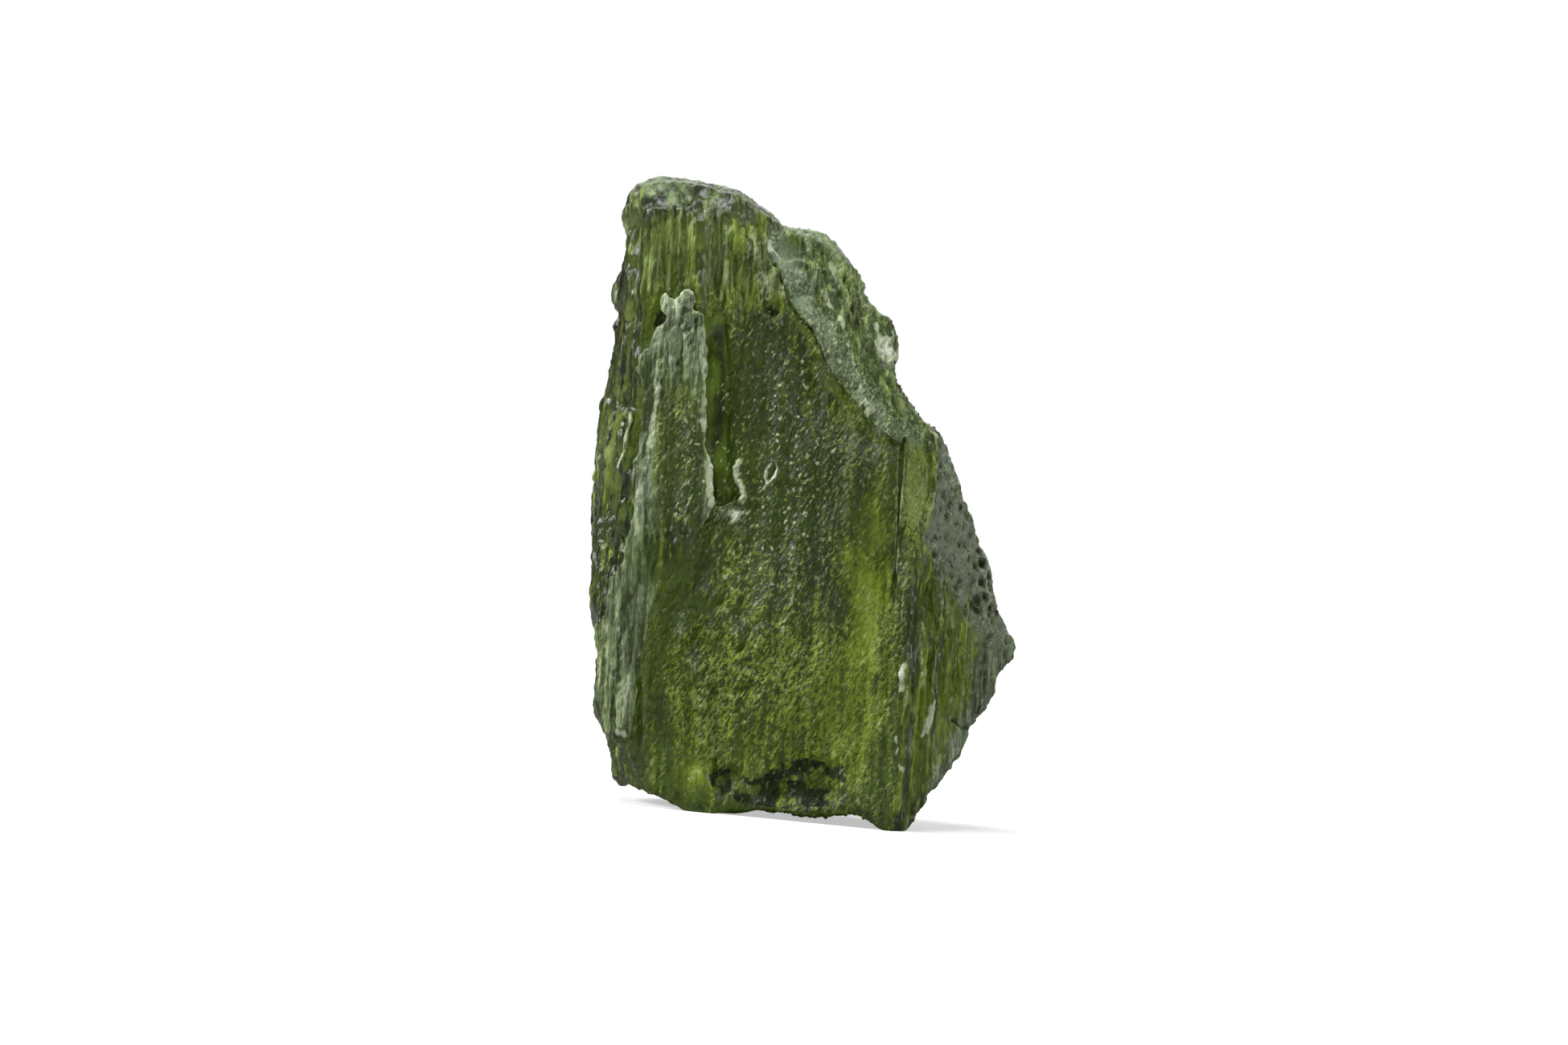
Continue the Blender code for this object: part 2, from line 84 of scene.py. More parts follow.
# Ledges, (u, v): the frosty skin on the left, and the edge of the skin at the upper right
SKIN_PLATE = (
    (-5.16, 21.15), (-5.08, 21.3), (-4.92, 21.33), (-4.78, 21.22), (-4.6, 21.12), (-4.44, 21.2),
    (-4.36, 21.34), (-4.2, 21.46), (-4.02, 21.48), (-3.86, 21.38), (-3.79, 21.2), (-3.8, 21.0),
    (-3.86, 20.8), (-3.7, 20.62),
    (-3.5, 20.55), (-3.42, 19.0), (-3.47, 17.0), (-3.5, 15.4), (-3.25, 14.5), (-3.1, 13.1), (-3.9, 11.5),
    (-5.4, 9.5), (-6.0, 7.0), (-6.2, 5.0), (-6.4, 4.05), (-7.0, 3.9), (-7.5, 4.1), (-7.9, 6.0), (-7.6, 8.0),
    (-7.1, 10.0), (-6.5, 11.4), (-6.3, 12.7), (-6.3, 14.0), (-5.98, 15.3), (-5.9, 16.4), (-5.75, 17.5),
    (-6.05, 18.3), (-6.0, 18.9), (-5.6, 19.25), (-5.35, 19.8), (-5.0, 20.1), (-4.88, 20.5), (-5.0, 20.75),
    (-5.12, 20.95),
)
SKIN_EDGE = (
    (-0.9, 23.2), (-0.5, 22.4), (0.0, 21.0), (0.35, 20.45), (0.8, 20.0), (1.3, 19.0), (1.55, 18.35),
    (1.8, 18.0), (2.4, 17.2), (2.9, 16.5), (3.4, 16.0), (4.3, 15.3),
)
SMOOTH_GROOVE = (
    (-3.35, 20.6), (-3.05, 21.3), (-2.7, 21.2), (-2.3, 20.2), (-2.1, 18.5), (-2.1, 17.0), (-2.15, 15.0),
    (-2.25, 13.08), (-3.05, 13.05), (-3.2, 14.6), (-3.42, 15.5),
)
TONGUE = (
    (4.35, 15.6), (4.35, 13.6), (4.5, 12.6), (4.72, 11.7), (4.95, 11.9), (5.3, 12.6), (5.55, 13.6),
    (5.55, 14.8), (5.2, 15.6), (4.8, 15.9),
)
FURROW = ((4.3, 15.6), (4.15, 13.5), (4.1, 11.5), (4.0, 9.0))
PITTED_FROM = (
    (5.65, 15.8), (5.55, 13.8), (5.2, 12.3), (5.0, 11.5), (5.9, 10.1), (6.75, 8.4), (7.3, 7.6), (8.6, 6.7),
)
LOWER_RIGHT = ((5.0, 11.4), (4.6, 10.0), (4.4, 8.0), (4.2, 6.0), (4.15, 3.0), (3.8, 0.5))
RIGHT_MARGIN = ((7.25, 7.5), (7.0, 6.6), (7.05, 5.6), (6.7, 4.7), (6.1, 3.6), (5.3, 1.8))


def ease(value, low, high):
    """0 below low, 1 above high, and a smooth rise between them."""
    share = np.clip((value - low) / (high - low), 0.0, 1.0)
    return share * share * (3.0 - 2.0 * share)


def distance_to_path(uv, path):
    """Distance of each point from a path, and how far along the path its nearest spot lies, 0 to 1."""
    stops = np.array(path)
    lengths = np.linalg.norm(np.diff(stops, axis=0), axis=1)
    travelled = np.concatenate([[0.0], np.cumsum(lengths)])
    nearest = np.full(len(uv), np.inf)
    along = np.zeros(len(uv))
    for start, end, begun, length in zip(stops[:-1], stops[1:], travelled, lengths):
        step = end - start
        share = np.clip(((uv - start) @ step) / length**2, 0.0, 1.0)
        away = np.linalg.norm(uv - start - share[:, None] * step, axis=1)
        closer = away < nearest
        nearest[closer] = away[closer]
        along[closer] = (begun + share[closer] * length) / travelled[-1]
    return nearest, along


def depth_inside(uv, outline):
    """Distance of each point from a closed outline, positive inside it."""
    closed = list(outline) + [outline[0]]
    away, _ = distance_to_path(uv, closed)
    inside = np.zeros(len(uv), bool)
    for (u0, v0), (u1, v1) in zip(closed[:-1], closed[1:]):
        crosses = (v0 > uv[:, 1]) != (v1 > uv[:, 1])
        at_u = u0 + (uv[:, 1] - v0) * (u1 - u0) / (v1 - v0 if v1 != v0 else 1.0)
        inside ^= crosses & (uv[:, 0] < at_u)
    return np.where(inside, away, -away)


def side_of_path(uv, path):
    """Distance from an open path that runs down, positive on its right."""
    away, _ = distance_to_path(uv, path)
    stops = sorted(path, key=lambda stop: stop[1])
    at_u = np.interp(uv[:, 1], [stop[1] for stop in stops], [stop[0] for stop in stops])
    return np.where(uv[:, 0] > at_u, away, -away)


def grain(points, size, seed):
    """Smooth noise from -1 to 1, with its own grain size along u, depth and v."""
    scaled = points / np.array(size) + seed * 7.3
    return np.array([noise.noise(Vector(point)) for point in scaled])


def pits(points, size, seed):
    """Rounded pits side by side: 0 on their rims and 1 in their middles."""
    scaled = points / np.array(size) + seed * 5.1
    nearest = np.array([noise.voronoi(Vector(point))[0][0] for point in scaled])
    return 1.0 - ease(nearest, 0.0, 0.62)


def hollow(uv, middle, half_sizes):
    """1 in the middle of an oval and 0 outside it."""
    reach = np.linalg.norm((uv - np.array(middle)) / np.array(half_sizes), axis=1)
    return 1.0 - ease(reach, 0.35, 1.0)


def to_stone_frame():
    """The matrix from the row frame, in metres, to the stone's own upright frame, in millimetres."""
    return (
        Matrix.Rotation(radians(REST_LEAN), 4, "Y")
        @ Matrix.Translation(REST_OFFSET)
        @ Matrix.Scale(1.0 / MILLIMETRE, 4)
    )


def scales(points, size, seed):
    """Rounded scales side by side: 1 on each and 0 in the creases between them."""
    scaled = points / np.array(size) + seed * 3.7
    gaps = []
    for point in scaled:
        nearest, second = noise.voronoi(Vector(point))[0][:2]
        gaps.append(second - nearest)
    return ease(np.array(gaps), 0.0, 0.35)


def leaned(points, lean):
    """The points measured across and along lines that lean to the right by so many degrees."""
    turn = np.array(Matrix.Rotation(radians(lean), 3, "Y"))
    return points @ turn


def bake_modifiers(obj):
    """Turns the object's modifiers into its mesh."""
    bpy.context.view_layer.update()
    graph = bpy.context.evaluated_depsgraph_get()
    baked = bpy.data.meshes.new_from_object(obj.evaluated_get(graph))
    obj.modifiers.clear()
    old = obj.data
    obj.data = baked
    bpy.data.meshes.remove(old)


def vertex_arrays(mesh):
    points = np.empty(len(mesh.vertices) * 3)
    facing = np.empty(len(mesh.vertices) * 3)
    mesh.vertices.foreach_get("co", points)
    mesh.vertices.foreach_get("normal", facing)
    return points.reshape(-1, 3), facing.reshape(-1, 3)


def blurred(mesh, values, times):
    """Each point's values, averaged with its neighbours' again and again."""
    ends = np.empty(len(mesh.edges) * 2, np.int32)
    mesh.edges.foreach_get("vertices", ends)
    first, second = ends.reshape(-1, 2).T
    columns = values.reshape(len(mesh.vertices), -1).copy()
    links = 1.0 + np.bincount(first, minlength=len(columns)) + np.bincount(second, minlength=len(columns))
    for _ in range(times):
        for k in range(columns.shape[1]):
            column = columns[:, k]
            gathered = column + np.bincount(first, column[second], len(column))
            columns[:, k] = (gathered + np.bincount(second, column[first], len(column))) / links
    return columns.reshape(values.shape)


def put_attribute(mesh, name, values):
    layer = mesh.attributes.new(name, "FLOAT", "POINT")
    layer.data.foreach_set("value", np.clip(values, 0.0, 1.0).astype(np.float32))


def ridge(uv, path, half_width, height):
    """A thin raised line with a sharp crest that fades at its ends."""
    away, along = distance_to_path(uv, path)
    ends = ease(along, 0.0, 0.12) * (1.0 - ease(along, 0.88, 1.0))
    return height * ends * np.clip(1.0 - away / half_width, 0.0, 1.0)


def ring(uv, middle, radius):
    """A low crater: a raised ring with a dished floor."""
    reach = np.linalg.norm(uv - np.array(middle), axis=1) / radius
    rim = np.exp(-(((reach - 1.0) / 0.28) ** 2))
    return 0.06 * rim - 0.03 * (1.0 - ease(reach, 0.2, 0.95))


def crests(points, size, seed):
    """Sharp winding crests with rounded hollows between them, 1 on a crest and about -0.4 between."""
    return 1.0 - 2.6 * np.abs(grain(points, size, seed))


LENS_FLAKE = (
    (-0.66, 14.68), (-0.6, 14.45), (-0.68, 14.15), (-0.9, 13.9), (-1.04, 14.1), (-1.0, 14.4), (-0.8, 14.66),
    (-0.66, 14.68),
)

# Thin raised lines of the front: path (u, v), half width, height
RIDGES = (
    (((-6.3, 22.6), (-6.28, 21.5), (-6.4, 18.8), (-6.6, 17.2)), 0.2, 0.32),
    (((-6.4, 16.9), (-6.28, 16.4), (-6.46, 14.8), (-6.65, 14.1)), 0.16, 0.32),
    (((-6.7, 17.0), (-7.1, 15.6), (-7.45, 14.6), (-7.7, 13.6)), 0.17, 0.3),
    (((-6.75, 20.5), (-6.85, 18.5), (-7.0, 17.2)), 0.14, 0.2),
    (((-6.75, 16.2), (-6.9, 14.6), (-7.2, 12.8)), 0.12, 0.16),
    (((-5.9, 22.2), (-5.8, 20.6), (-6.0, 19.4)), 0.12, 0.14),
    (((-6.55, 13.4), (-6.85, 12.0), (-7.3, 10.4)), 0.12, 0.16),
    (((-1.95, 14.95), (-2.2, 14.5), (-2.14, 14.1), (-1.92, 13.75), (-1.86, 13.4), (-2.08, 13.0)), 0.2, 0.36),
    (LENS_FLAKE, 0.12, 0.2),
    (((-0.9, 13.92), (-1.36, 13.4)), 0.1, 0.16),
    (((-0.82, 23.2), (-0.7, 22.8), (-0.4, 22.52), (0.2, 22.62), (0.6, 22.5)), 0.16, 0.2),
    (((-2.5, 22.8), (-2.65, 21.8), (-2.8, 21.0)), 0.14, 0.16),
    (((4.45, 10.2), (4.35, 8.0), (4.25, 6.0), (4.2, 4.2)), 0.18, 0.2),
    (((5.15, 9.5), (4.95, 7.0), (4.75, 4.5), (4.5, 2.4)), 0.16, 0.2),
    (((5.8, 8.8), (5.55, 6.6), (5.45, 5.2), (5.2, 3.9)), 0.16, 0.2),
    (((6.4, 8.2), (6.2, 6.8), (6.0, 5.4)), 0.16, 0.18),
    (((6.9, 7.3), (6.75, 6.2), (6.6, 5.2)), 0.16, 0.16),
    (((-6.45, 6.6), (-6.65, 5.4), (-6.85, 4.2)), 0.12, 0.12),
    (((-7.1, 6.6), (-7.15, 5.4), (-7.2, 4.4)), 0.1, 0.1),
    (((-5.75, 8.5), (-5.9, 6.5), (-5.85, 4.5), (-5.9, 2.2)), 0.16, 0.12),
    (((-3.35, 15.4), (-3.3, 14.6), (-3.12, 13.9), (-3.0, 13.2)), 0.12, 0.16),
)
# Thin cut lines of the front, the same way
CUTS = (
    (((-3.0, 3.2), (-2.98, 2.6), (-3.02, 1.9)), 0.12, 0.18),
    (((-5.88, 3.6), (-5.85, 2.9), (-5.9, 2.3)), 0.1, 0.14),
    (((5.45, 10.5), (5.4, 9.6), (5.35, 8.6)), 0.18, 0.14),
    (((5.02, 8.1), (5.0, 7.6), (4.95, 6.9)), 0.14, 0.2),
    (((5.72, 8.3), (5.78, 7.0), (5.7, 5.6)), 0.2, 0.2),
    (((4.92, 6.6), (4.8, 5.0), (4.7, 3.6)), 0.14, 0.18),
    (((6.05, 5.3), (5.9, 4.4), (5.7, 3.2)), 0.16, 0.18),
    (((6.4, 4.55), (6.7, 4.2), (7.1, 4.05)), 0.14, 0.24),
    (((-2.75, 22.9), (-2.75, 22.0), (-2.9, 21.0)), 0.12, 0.16),
    (((-6.6, 19.8), (-6.6, 18.2), (-6.75, 16.8)), 0.14, 0.2),
)
RINGS = (((-3.6, 24.6), 0.42), ((0.38, 21.45), 0.38))
# Near-black pits along the lower edge and elsewhere: middle (u, v), half sizes, depth
DARK_PITS = (
    ((-2.75, 2.2), (0.7, 0.9), 0.16),
    ((-0.9, 1.7), (2.3, 1.1), 0.12),
    ((0.1, 2.5), (1.4, 1.0), 0.12),
    ((1.0, 2.6), (1.1, 0.6), 0.14),
    ((1.75, 2.45), (0.55, 0.7), 0.12),
    ((0.7, 1.6), (1.5, 0.8), 0.14),
    ((-5.25, 20.35), (0.35, 0.5), 0.1),
    ((-0.75, 20.7), (0.6, 0.32), 0.02),
)
# Places of the front with more skin, or less: middle (u, v), half sizes, amount
FROSTED = (
    ((-4.4, 14.6), (1.3, 4.2), -0.4),
    ((-4.4, 10.8), (2.0, 2.6), -0.2),
    ((-4.3, 19.8), (1.1, 2.2), 0.5),
    ((-5.2, 23.0), (1.2, 2.2), 0.1),
    ((-1.5, 23.2), (0.8, 1.5), 0.45),
    ((-0.9, 21.7), (0.9, 1.3), 0.45),
    ((1.6, 22.3), (1.0, 1.4), 0.2),
    ((0.2, 23.7), (0.6, 0.7), 0.2),
    ((0.0, 16.5), (2.6, 4.5), -0.1),
    ((-1.5, 11.5), (3.4, 1.6), -0.05),
    ((0.0, 5.0), (6.0, 5.0), 0.16),
    ((3.0, 10.5), (1.3, 3.8), 0.05),
    ((-3.6, 24.9), (4.0, 1.2), -0.08),
    ((4.9, 13.6), (0.8, 2.6), 0.3),
    ((-0.82, 14.3), (0.4, 0.6), -0.4),
)
# Places of the front with greyer skin, the same way
GREYED = (
    ((-4.4, 14.6), (1.4, 4.2), -0.62),
    ((-4.4, 10.8), (2.0, 2.6), -0.6),
    ((-3.6, 25.0), (4.5, 1.1), 0.3),
    ((-1.0, 22.4), (1.2, 2.2), 0.5),
    ((-4.5, 22.9), (2.6, 2.2), 0.4),
    ((-2.9, 23.2), (0.6, 2.4), 0.35),
    ((-4.3, 19.6), (1.2, 2.4), 0.3),
    ((0.0, 15.6), (2.8, 4.6), -0.36),
    ((-1.4, 17.0), (0.5, 1.8), 0.5),
    ((0.2, 21.6), (1.0, 1.0), 0.55),
    ((0.8, 17.0), (0.5, 1.0), 0.3),
    ((1.9, 12.8), (0.6, 1.2), 0.4),
    ((2.2, 15.4), (0.6, 0.9), 0.3),
    ((-4.4, 8.4), (0.4, 0.8), 0.5),
    ((-3.8, 7.0), (0.35, 0.8), 0.5),
    ((3.9, 19.0), (0.5, 1.0), 0.6),
    ((-2.2, 12.6), (1.4, 0.9), 0.5),
    ((-4.9, 9.3), (0.8, 1.4), 0.4),
    ((4.9, 13.6), (0.9, 2.6), 0.25),
    ((6.4, 4.0), (1.2, 1.6), 0.5),
)
# Places of the front with painted glow, where light shining through the glass is painted into the skin's
# colour, and places that are smooth, the same way
GLOWING = (
    ((0.0, 5.5), (6.5, 5.6), 0.42),
    ((3.0, 9.6), (1.4, 3.8), 0.22),
    ((-1.2, 22.0), (1.8, 2.2), 0.55),
    ((1.6, 22.3), (1.2, 1.6), 0.2),
    ((5.85, 6.6), (0.35, 1.5), -0.5),
    ((6.15, 8.8), (0.4, 1.0), 0.4),
    ((-4.4, 12.8), (1.8, 4.0), -0.35),
    ((-0.5, 15.8), (3.2, 5.0), -0.76),
    ((-3.6, 25.0), (4.0, 1.2), -0.15),
    ((-1.6, 23.4), (0.6, 1.1), 0.7),
    ((-1.3, 21.9), (0.6, 1.0), 0.7),
    ((0.2, 23.7), (0.7, 0.8), 0.5),
    ((-4.6, 22.8), (2.2, 1.8), 0.48),
    ((4.9, 13.6), (0.8, 2.4), 0.25),
    ((6.4, 5.9), (0.6, 1.8), 0.4),
    ((-4.0, 2.2), (1.4, 1.2), 0.12),
    ((-4.1, 14.5), (0.5, 1.0), 0.3),
    ((1.3, 7.2), (0.4, 1.4), 0.3),
)
CALM = (
    ((3.0, 10.6), (1.4, 4.6), 0.95),
    ((2.4, 5.0), (1.9, 5.0), 0.35),
    ((-0.1, 23.2), (0.5, 0.6), 0.6),
    ((6.15, 8.8), (0.35, 0.9), 0.5),
    ((-4.0, 2.2), (1.4, 1.3), 0.75),
    ((-0.82, 14.3), (0.3, 0.5), 0.8),
)
# Pale lines and flakes of the front, partly painted highlights along the plate's rim and ridge crests and a
# painted reflection spot on the plate: path (u, v), half width, amount
PALE_AND_HIGHLIGHTS = (
    (((-3.55, 20.6), (-3.52, 19.0), (-3.54, 17.0), (-3.52, 15.4), (-3.36, 14.5), (-3.2, 13.2)), 0.09, 0.8),
    (((-3.4, 15.0), (-3.3, 13.9), (-3.14, 12.9)), 0.2, 0.95),
    (((-5.1, 21.15), (-4.95, 21.2), (-4.6, 20.95), (-4.35, 21.2), (-4.1, 21.36), (-3.9, 21.2)), 0.12, 0.5),
    (
        (
            (0.3, 21.1), (0.7, 20.55), (1.15, 20.1), (1.6, 19.2), (1.95, 18.4), (2.35, 17.9), (2.75, 17.3),
            (3.2, 16.7), (3.7, 16.25), (4.3, 15.7),
        ),
        0.4,
        0.22,
    ),
    (((-4.82, 18.87), (-4.64, 18.82), (-4.48, 18.78)), 0.18, 2.4),
    (((-5.15, 18.2), (-5.4, 16.6), (-5.6, 15.3), (-5.92, 14.0), (-6.1, 12.8)), 0.18, 0.8),
    (((-4.3, 20.4), (-4.2, 19.4), (-4.25, 18.2)), 0.16, 0.5),
    (((-4.9, 20.0), (-5.0, 19.2), (-5.2, 18.2)), 0.14, 0.45),
    (((-3.85, 20.2), (-3.8, 18.6), (-3.85, 17.2)), 0.12, 0.45),
    (((-1.55, 23.9), (-1.5, 23.2), (-1.6, 22.6)), 0.32, 0.5),
    (((-1.25, 22.3), (-1.1, 21.7), (-1.0, 21.2)), 0.36, 0.5),
    (((-2.1, 24.3), (-1.6, 24.1), (-1.2, 23.7)), 0.2, 0.5),
    (((-0.4, 24.0), (-0.1, 23.6)), 0.3, 0.35),
    (((-7.3, 8.8), (-7.2, 7.4), (-7.25, 6.2)), 0.1, 0.5),
    (((-6.9, 9.6), (-6.8, 8.0), (-6.75, 6.8)), 0.1, 0.45),
    (((-4.75, 19.1), (-4.72, 18.5)), 0.1, 0.6),
    (((-6.42, 6.6), (-6.55, 5.4), (-6.75, 4.25)), 0.1, 1.0),
    (((-6.7, 6.0), (-6.85, 5.0), (-6.95, 4.2)), 0.07, 0.6),
    (((-7.15, 5.4), (-7.2, 4.4)), 0.06, 0.5),
    (((-7.1, 4.16), (-6.8, 4.12), (-6.45, 4.12)), 0.14, 1.2),
    (((-2.6, 12.85), (-2.2, 12.65), (-2.35, 12.2)), 0.28, 0.95),
    (((-2.0, 14.9), (-2.2, 14.5), (-2.14, 14.1), (-1.92, 13.75), (-1.86, 13.4), (-2.08, 13.0)), 0.16, 0.9),
    (LENS_FLAKE, 0.075, 1.3),
    (((-0.9, 13.92), (-1.36, 13.4)), 0.08, 0.9),
    (((-2.8, 14.0), (-2.82, 13.2)), 0.09, 0.6),
    (((-0.3, 8.7), (-0.33, 8.0)), 0.09, 0.8),
    (((-3.56, 6.2), (-3.6, 4.9)), 0.08, 0.5),
    (((1.6, 8.0), (1.5, 7.0)), 0.1, 0.5),
    (((3.5, 19.7), (3.7, 19.2), (3.85, 18.6)), 0.42, 1.0),
    (((3.3, 20.3), (3.55, 19.6)), 0.14, 0.8),
    (((1.55, 22.8), (1.7, 22.2), (1.85, 21.4)), 0.16, 0.65),
    (((2.35, 21.6), (2.5, 20.6)), 0.12, 0.5),
    (((0.95, 21.7), (1.9, 20.2), (2.45, 18.6), (2.8, 17.3), (3.4, 16.2)), 0.1, 0.6),
    (((2.9, 17.2), (3.15, 16.6)), 0.3, 0.6),
    (((-0.9, 23.5), (-0.82, 23.0), (-0.66, 22.7), (-0.5, 22.6)), 0.11, 1.3),
    (((4.38, 6.95), (4.34, 6.4), (4.26, 5.6)), 0.13, 1.1),
    (((5.6, 5.4), (5.5, 4.7), (5.3, 3.95)), 0.09, 1.2),
    (((5.42, 5.2), (5.3, 4.7), (5.12, 3.8)), 0.1, 1.0),
    (((4.0, 4.0), (4.18, 3.5), (4.06, 3.1), (4.4, 2.5)), 0.12, 1.0),
    (((4.45, 7.0), (4.4, 5.6), (4.35, 4.2)), 0.05, 0.5),
    (((5.35, 8.9), (5.2, 7.9)), 0.05, 0.6),
    (((5.18, 8.8), (5.14, 7.0), (5.1, 5.4)), 0.1, 0.6),
    (((4.78, 8.6), (4.62, 6.5), (4.45, 4.8)), 0.09, 0.5),
    (((5.95, 9.7), (6.2, 8.8), (6.35, 8.0)), 0.34, 0.4),
    (((6.55, 7.2), (6.5, 6.2), (6.3, 5.0)), 0.12, 0.45),
    (((3.55, 18.4), (3.75, 19.2), (3.95, 20.0)), 0.16, 0.6),
    (((0.55, 23.6), (0.7, 23.0)), 0.12, 0.6),
    (((1.85, 22.9), (1.95, 22.2)), 0.12, 0.5),
    (((5.5, 16.2), (5.7, 15.6)), 0.14, 0.6),
    (((-6.34, 20.4), (-6.4, 18.8), (-6.6, 17.3)), 0.14, 0.45),
    (((-6.4, 16.9), (-6.28, 16.4), (-6.46, 14.8), (-6.65, 14.2)), 0.08, 0.75),
    (((-6.7, 17.0), (-7.1, 15.6), (-7.45, 14.6), (-7.65, 13.9)), 0.08, 0.55),
    (((-6.3, 22.4), (-6.3, 21.0)), 0.12, 0.35),
    (((-6.66, 16.4), (-6.62, 16.2)), 0.12, 1.0),
    (((-7.3, 8.6), (-7.2, 7.8)), 0.08, 0.5),
    (((-0.85, 23.1), (-0.68, 22.75), (-0.4, 22.5), (0.1, 22.6)), 0.08, 0.5),
)
BLUE_BAND = ((-5.45, 18.3), (-5.55, 16.5), (-5.75, 14.6), (-5.95, 13.2), (-6.3, 11.6))

# Soft changes: where they begin and where they are whole
TOP_FACING = (0.3, 0.65)
EDGE_FACING = (0.7, 0.95)
MASK_EDGE = (-0.02, 0.1)
PATH_START = (0.0, 0.1)
PATH_END = (0.9, 1.0)

# Ledges: height, the crisp step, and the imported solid's own softer step
PLATE_LEDGE = (0.48, (-0.04, 0.05), (-0.26, 0.26))
GROOVE_LEDGE = (-0.45, (-0.03, 0.1), (-0.15, 0.55))
EDGE_LEDGE = (-0.42, (-0.04, 0.05), (-0.15, 0.2))
TONGUE_LEDGE = (-0.14, (-0.05, 0.1), (-0.3, 0.6))
FURROW_LEDGE = (0.3, (0.06, 0.16), (0.1, 0.38))

# Grains of the relief: sizes along u, depth and v, and the number that sets each pattern
RAGGED_GRAIN = ((0.75, 0.75, 0.75), 21)
CRUMB_GRAIN = ((0.16, 0.17, 0.34), 36)
THREADS = ((0.5, 0.6, 5.0), 33)
FINE_THREADS = ((0.24, 0.3, 2.6), 40)
STRIPS = ((0.8, 1.2, 6.0), 37, 4.0)
PEELING = ((0.3, 0.35, 0.62), 35)
SMALL_PITS = ((0.42, 0.42, 0.56), 38)
BENDING = ((0.9, 0.9, 0.9), 55)
SCALES = ((0.85, 1.0, 1.3), 41)
CRUMB_STEPS = ((0.8, 1.0, 1.5), 41, 3.0)
TEARING = (((0.6, 0.6, 0.4), 53), ((0.22, 0.22, 0.18), 54))
# and the heights of the textures, in millimetres
HIGH = {
    "threads": 0.09, "fine_threads": 0.06, "strips": 0.28, "scales": 0.11, "steps": 0.12, "peeling": 0.035,
    "crumbs": 0.045,
}

# Places that one effect needs: middle (u, v) and half sizes
PLATE_MIDDLE = ((-4.5, 14.6), (1.1, 3.9))
PLATE_FADES = ((-4.2, 8.6), (2.4, 4.6))
WRINKLED = ((-2.6, 7.6), (3.6, 3.8))
SCALY = ((-2.6, 7.8), (3.2, 3.6))
QUIET = ((-1.5, 14.1), (1.4, 1.3))
GLINTING_MIDDLE = ((-0.8, 14.5), (4.5, 7.5))

# What each mask adds to the height of one texture, or to a value that the glass material reads
FLUTED = {
    "all": 0.45, "behind": 0.12, "skin": 0.3, "flank": 0.5, "lower_right": 0.55, "crown": 0.3, "foot": 0.08,
    "upper_band": 0.35, "wrinkled": -0.35, "pitted": -0.5, "brow": -0.6, "plate_middle": -0.4,
}
STEPPED = {"all": 0.15, "wrinkled": 0.6, "brow": 0.2, "plate_middle": 0.5}
PITTING = {"all": 0.02, "pitted": 0.26, "brow": 0.05, "behind": 0.03}
CALMED = {"in_groove": 1.0, "in_tongue": 0.75, "top": 0.6, "brow": 0.4}
FROST = {
    "all": 0.42, "flank": -0.3, "skin": 0.25, "band": 0.25, "pitted": 0.35, "lower_right": 0.05,
    "behind": -0.12, "margin": 0.4,
}
# raised crests also get greyer skin here, a painted highlight
GREY = {
    "skin": 0.75, "band": 0.3, "brow": 0.45, "pitted": 0.75, "lower_right": 0.05, "behind": 0.4,
    "margin": 0.8, "top_edge": 0.5, "front_top": 0.25, "furrow": -0.7, "blue_band": 0.5, "raised": 0.8,
}
# painted glow of light through the glass: less on the flank, the top and the band, darker towards the bottom,
# and painted shade in the furrow
GLOW = {
    "all": 0.52, "flank": -0.45, "lower_right": 0.1, "behind": -0.12, "front_top": -0.3, "band": -0.35,
    "furrow": -0.9, "sole": -0.5,
}
COAT = {"pitted": 0.85, "margin": 0.45}
# where the painted glints show
GLINTING = {"all": 0.25, "glinting_middle": 0.75, "dark": 0.1, "plate_middle": 0.6}


def terraces(points, size, seed, steps):
    """Flat treads between narrow risers, from -1 to 1, with so many steps on the way."""
    level = grain(points, size, seed) * steps
    tread = np.floor(level)
    return (tread + ease(level - tread, 0.82, 1.0)) / steps


def front_ledges(uv, ragged):
    """Distances inside the skin plate and the smooth groove, below the skin's edge, and inside the tongue."""
    u, v = uv.T
    crisp = np.maximum(ease(u, -5.2, -4.4), ease(v, 20.0, 20.6))
    plate = depth_inside(uv, SKIN_PLATE) + ragged * (1.1 - 0.85 * crisp)
    groove = depth_inside(uv, SMOOTH_GROOVE) + 0.3 * ragged
    groove -= 0.12 * ease(u, -2.7, -2.4) * (1.0 + 8.0 * ragged)
    below = -side_of_path(uv, SKIN_EDGE) + 0.9 * ragged
    tongue = depth_inside(uv, TONGUE) + 0.3 * ragged
    return plate, groove, below, tongue


def ledge(distance, height, crisp, soft):
    """A crisp step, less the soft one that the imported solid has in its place."""
    return height * (ease(distance, *crisp) - ease(distance, *soft))


